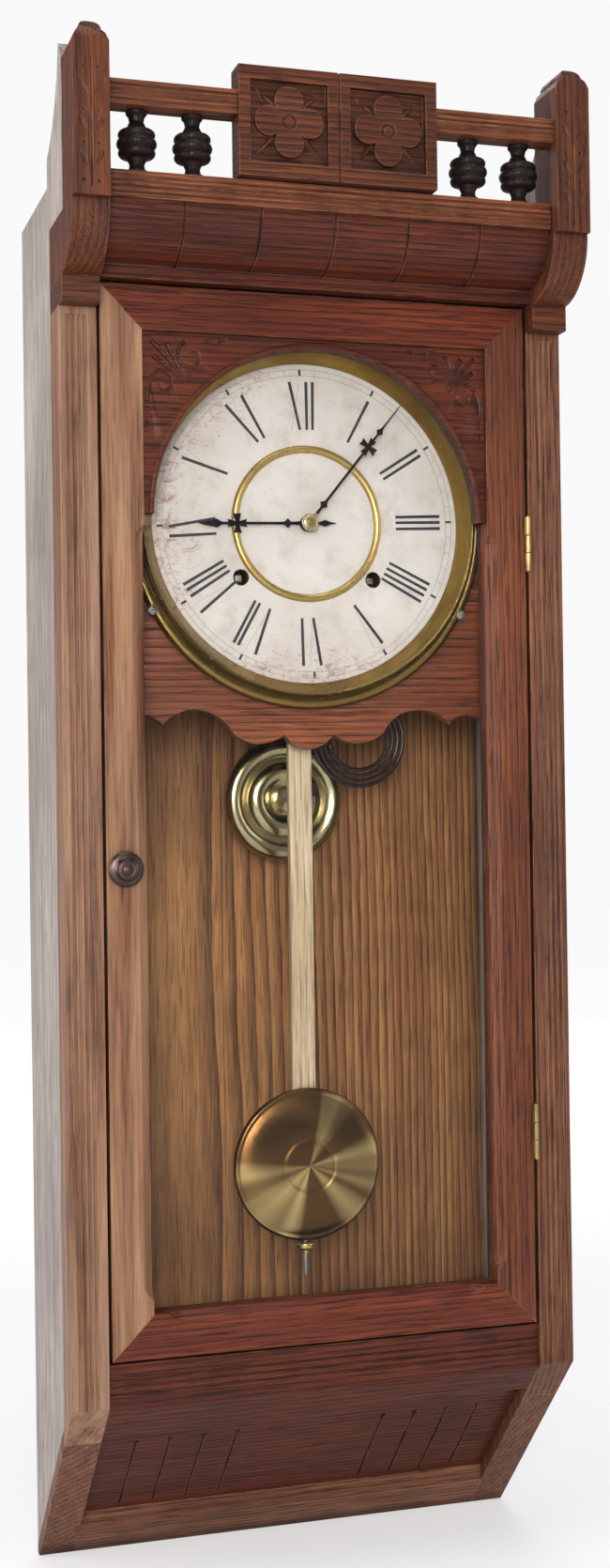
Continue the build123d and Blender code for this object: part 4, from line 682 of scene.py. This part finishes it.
def ink_ring(radius, width):
    fresh()
    bpy.ops.mesh.primitive_circle_add(vertices=160, radius=radius + width / 2, fill_type="NOTHING",
                                      location=(0.0, DIAL_FACE, DIAL_Z), rotation=(math.pi / 2, 0.0, 0.0))
    ring = bpy.context.object
    seat(ring)
    bpy.ops.object.mode_set(mode="EDIT")
    bpy.ops.mesh.select_all(action="SELECT")
    bpy.ops.mesh.extrude_edges_move()
    shrink = (radius - width / 2) / (radius + width / 2)
    bpy.ops.transform.resize(value=(shrink, 1.0, shrink), center_override=(0.0, DIAL_FACE, DIAL_Z))
    bpy.ops.mesh.select_all(action="SELECT")
    bpy.ops.mesh.extrude_region_move(TRANSFORM_OT_translate={"value": (0.0, -INK_THICK, 0.0)})
    bpy.ops.mesh.select_all(action="SELECT")
    bpy.ops.mesh.normals_make_consistent(inside=False)
    bpy.ops.object.mode_set(mode="OBJECT")
    return ring


def print_dial():
    thick = []
    for hour, strokes in NUMERALS.items():
        for out_t, in_t in strokes:
            thick.append(stroke(30 * hour + DIAL_TURN, STROKE_OUT, STROKE_IN, out_t * MM, in_t * MM,
                                STROKE_WIDE))
        thick.append(stroke(30 * hour + DIAL_TURN, 0.0982, 0.0944, 0.0, 0.0, 1.5 * MM, 1.0))
    dress(join(thick, "dial_numerals"), INK, "case")
    thin = [ink_ring(0.0983, 0.25 * MM), ink_ring(0.0944, 0.25 * MM)]
    for minute in range(60):
        if minute % 5:
            thin.append(stroke(6 * minute + DIAL_TURN, 0.0982, 0.0945, 0.0, 0.0, 0.22 * MM, 1.0))
    for hour, (out_t, in_t) in HAIRLINES.items():
        thin.append(stroke(30 * hour + DIAL_TURN, STROKE_OUT, STROKE_IN, out_t * MM, in_t * MM,
                           0.16 * MM, 1.0))
    dress(join(thin, "dial_minute_track"), GREY_INK, "case")


print_dial()


# ------------------------------------------------------------ hands
def cut_flat(outline, hole, thick, name):
    """Sheet cut to an outline of (x, z) points with a round hole at the origin, edges eased."""
    curve = bpy.data.curves.new(name, "CURVE")
    curve.dimensions = "2D"
    curve.fill_mode = "BOTH"
    rings = [outline, [(hole * math.cos(i * math.pi / 12),
                        hole * math.sin(i * math.pi / 12)) for i in range(24)]]
    for ring in rings:
        spline = curve.splines.new("POLY")
        spline.points.add(len(ring) - 1)
        for point, (x, z) in zip(spline.points, ring):
            point.co = (x, z, 0.0, 1.0)
        spline.use_cyclic_u = True
    curve.extrude = thick / 2 - 0.00012
    curve.bevel_depth = 0.00012
    curve.bevel_resolution = 1
    curve.offset = -0.00012
    sheet = bpy.data.objects.new(name, curve)
    bpy.context.scene.collection.objects.link(sheet)
    keep_only(sheet)
    bpy.ops.object.convert(target="MESH")
    sheet = bpy.context.object
    sheet.rotation_euler = (math.pi / 2, 0.0, 0.0)
    seat(sheet)
    return sheet


def cross_arms(middle, arm=6.3, flare=2.6, waist=1.3, stem=0.8, notch=0.5):
    """One side of a four-armed cross with fishtail ends, as (distance, half width)."""
    return [(middle - arm + notch, stem), (middle - arm, flare), (middle - waist, waist),
            (middle - flare, arm),
            (middle, arm - notch), (middle + flare, arm), (middle + waist, waist), (middle + arm, flare),
            (middle + arm - notch, stem)]


def diamond(middle, half, before=3.4, after=3.6, stem=0.8):
    return [(middle - before, stem), (middle - before * 0.55, stem * 1.3), (middle, half),
            (middle + after * 0.5, stem * 1.5), (middle + after, stem)]


def hub(radius, stem=0.8):
    angles = [math.radians(a) for a in range(165, 14, -15)]
    return [(radius * math.cos(a), max(radius * math.sin(a), stem)) for a in angles]


def make_hand(name, side, place_y, thick, hole, angle, body):
    points = [(x * MM, w * MM) for x, w in side]
    outline = [(w, x) for x, w in points] + [(-w, x) for x, w in reversed(points)]
    hand = cut_flat(outline, hole * MM, thick * MM, name)
    turn = math.radians(angle)
    hand.rotation_euler = (0.0, turn, 0.0)
    hand.location = (0.0, place_y * MM, DIAL_Z)
    seat(hand)
    hand.name = name
    return dress(hand, BLACK_HANDS, body)


HOUR_SIDE = ([(-18.6, 0.15), (-14.5, 0.8), (-11.0, 2.1), (-9.0, 1.3), (-7.0, 0.8)] + hub(5.2)
             + diamond(13.7, 3.1) + cross_arms(46.9) + [(56.4, 0.8), (57.8, 1.3), (60.0, 2.7),
                                                        (64.0, 1.8), (71.6, 0.3)])
MINUTE_SIDE = ([(-4.9, 0.5)] + hub(4.9) + diamond(15.0, 2.9) + cross_arms(63.6, arm=6.0, flare=2.4)
               + diamond(76.0, 2.4, 3.0, 4.6, 0.65) + [(84.0, 0.5), (100.4, 0.2)])
hour_hand = make_hand("hour_hand_cut", HOUR_SIDE, -105.8, 0.9, 3.4, 268.5, "hour_pipe")
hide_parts("hour_hand")
minute_hand = make_hand("minute_hand_cut", MINUTE_SIDE, -108.9, 0.9, 2.0, 38.8, "centre_arbor")
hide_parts("minute_hand")

# ------------------------------------------------------------ carved corners of the door arch
STEMS = (((-105.9, -114.3), (-101.9, -118.4), (-97.1, -123.5), (-92.5, -128.7), (-86.6, -135.6)),
         ((-96.4, -115.5), (-94.1, -120.2), (-91.3, -125.2), (-88.6, -130.2), (-85.2, -135.6)),
         ((-104.9, -123.7), (-100.6, -126.3), (-96.0, -129.6), (-92.0, -133.2), (-87.4, -137.2)))
SCROLLS = (((-84.4, -113.7), (-87.7, -116.2), (-89.2, -120.0), (-89.2, -124.0), (-87.8, -127.0),
            (-84.9, -129.1),
            (-80.8, -129.5), (-77.6, -127.6), (-76.1, -124.4), (-76.6, -121.0), (-78.9,
                                                                                 -119.6), (-81.0, -121.2)),
           ((-108.7, -151.6), (-109.2, -146.5), (-108.3, -140.8), (-106.2, -136.2),
            (-102.7, -132.9), (-98.6, -132.1),
            (-94.9, -133.9), (-92.9, -137.2), (-93.5, -141.2), (-95.9, -144.5), (-99.1,
                                                                                 -144.9), (-101.4, -142.2),
            (-101.1, -139.3)))
NICKS = (((-109.1, -154.5), (-108.8, -159.6)), ((-109.2, -163.0), (-109.4, -167.5)),
         ((-73.4, -113.2), (-68.4, -112.7)), ((-64.0, -112.4), (-58.4, -111.8)))


def gouge(points, wide_start, wide_end, side):
    """A tapering round cutter along a line on the board's face, for taking a groove out of it."""
    curve = bpy.data.curves.new("gouge", "CURVE")
    curve.dimensions = "3D"
    spline = curve.splines.new("NURBS")
    spline.points.add(len(points) - 1)
    for i, (point, (x, z)) in enumerate(zip(spline.points, points)):
        share = i / (len(points) - 1)
        point.co = (side * x * MM, CARVED_FACE - 0.0002, z * MM, 1.0)
        point.radius = wide_start + (wide_end - wide_start) * share
    spline.order_u = 3
    spline.use_endpoint_u = True
    spline.resolution_u = 6
    curve.bevel_depth = MM
    curve.bevel_resolution = 2
    curve.use_fill_caps = True
    cutter = bpy.data.objects.new("gouge", curve)
    bpy.context.scene.collection.objects.link(cutter)
    keep_only(cutter)
    bpy.ops.object.convert(target="MESH")
    return bpy.context.object


def take_out(board, cutter):
    keep_only(board)
    cut = board.modifiers.new("cut", "BOOLEAN")
    cut.operation = "DIFFERENCE"
    cut.solver = "EXACT"
    cut.object = cutter
    bpy.ops.object.modifier_apply(modifier="cut")
    bpy.data.objects.remove(cutter)


def copy_node(node, name):
    """A welded copy of a CAD node's mesh, to be worked on."""
    copied = bpy.data.objects.new(name, NODES[node].data.copy())
    copied.data.name = name
    bpy.context.scene.collection.objects.link(copied)
    keep_only(copied)
    bpy.ops.object.mode_set(mode="EDIT")
    bpy.ops.mesh.select_all(action="SELECT")
    bpy.ops.mesh.remove_doubles(threshold=0.000002)
    bpy.ops.object.mode_set(mode="OBJECT")
    return copied


def carve_spandrel():
    board = copy_node("door_spandrel", "carved_spandrel")
    for side in (1.0, -1.0):
        for points in STEMS:
            take_out(board, gouge(points, 1.9, 1.1, side))
        for points in SCROLLS:
            take_out(board, gouge(points, 1.7, 1.1, side))
        for points in NICKS:
            take_out(board, gouge(points, 1.5, 1.0, side))
    keep_only(board)
    bpy.ops.object.shade_smooth_by_angle(angle=math.radians(6))
    dress(board, WOODS["door_spandrel"], "door")
    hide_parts("door_spandrel")


carve_spandrel()

# ------------------------------------------------------------ floor
def lay_floor():
    fresh()
    bpy.ops.mesh.primitive_plane_add(size=FLOOR_SIZE, location=(0.0, 0.0, FLOOR_Z))
    floor = bpy.context.object
    floor.name = "floor"
    seat(floor)
    material, tree, shader, coords = start_material("pale_floor")
    cloud = noise(tree, coords, 3.0, 3.0)
    tree.links.new(blend(tree, cloud, (0.50, 0.50, 0.50, 1.0), (0.54, 0.54, 0.54, 1.0)),
                   shader.inputs["Base Color"])
    shader.inputs["Emission Color"].default_value = (1.0, 1.0, 1.0, 1.0)
    reach = add(tree, "VectorMath", operation="LENGTH")
    tree.links.new(coords, reach.inputs[0])
    glow = maths(tree, "MULTIPLY_ADD", ramp(tree, reach.outputs["Value"], FLOOR_NEAR, FLOOR_FAR),
                 FLOOR_GLOW_RISE)
    tree.nodes[-1].inputs[2].default_value = FLOOR_GLOW
    ray = add(tree, "LightPath")
    unseen = maths(tree, "SUBTRACT", 1.0, maths(tree, "MULTIPLY", ray.outputs["Is Glossy Ray"], 0.8))
    tree.links.new(maths(tree, "MULTIPLY", glow, unseen), shader.inputs["Emission Strength"])
    shader.inputs["Roughness"].default_value = 0.9
    shader.inputs["Specular IOR Level"].default_value = 0.1
    floor.data.materials.append(material)


lay_floor()
fresh()
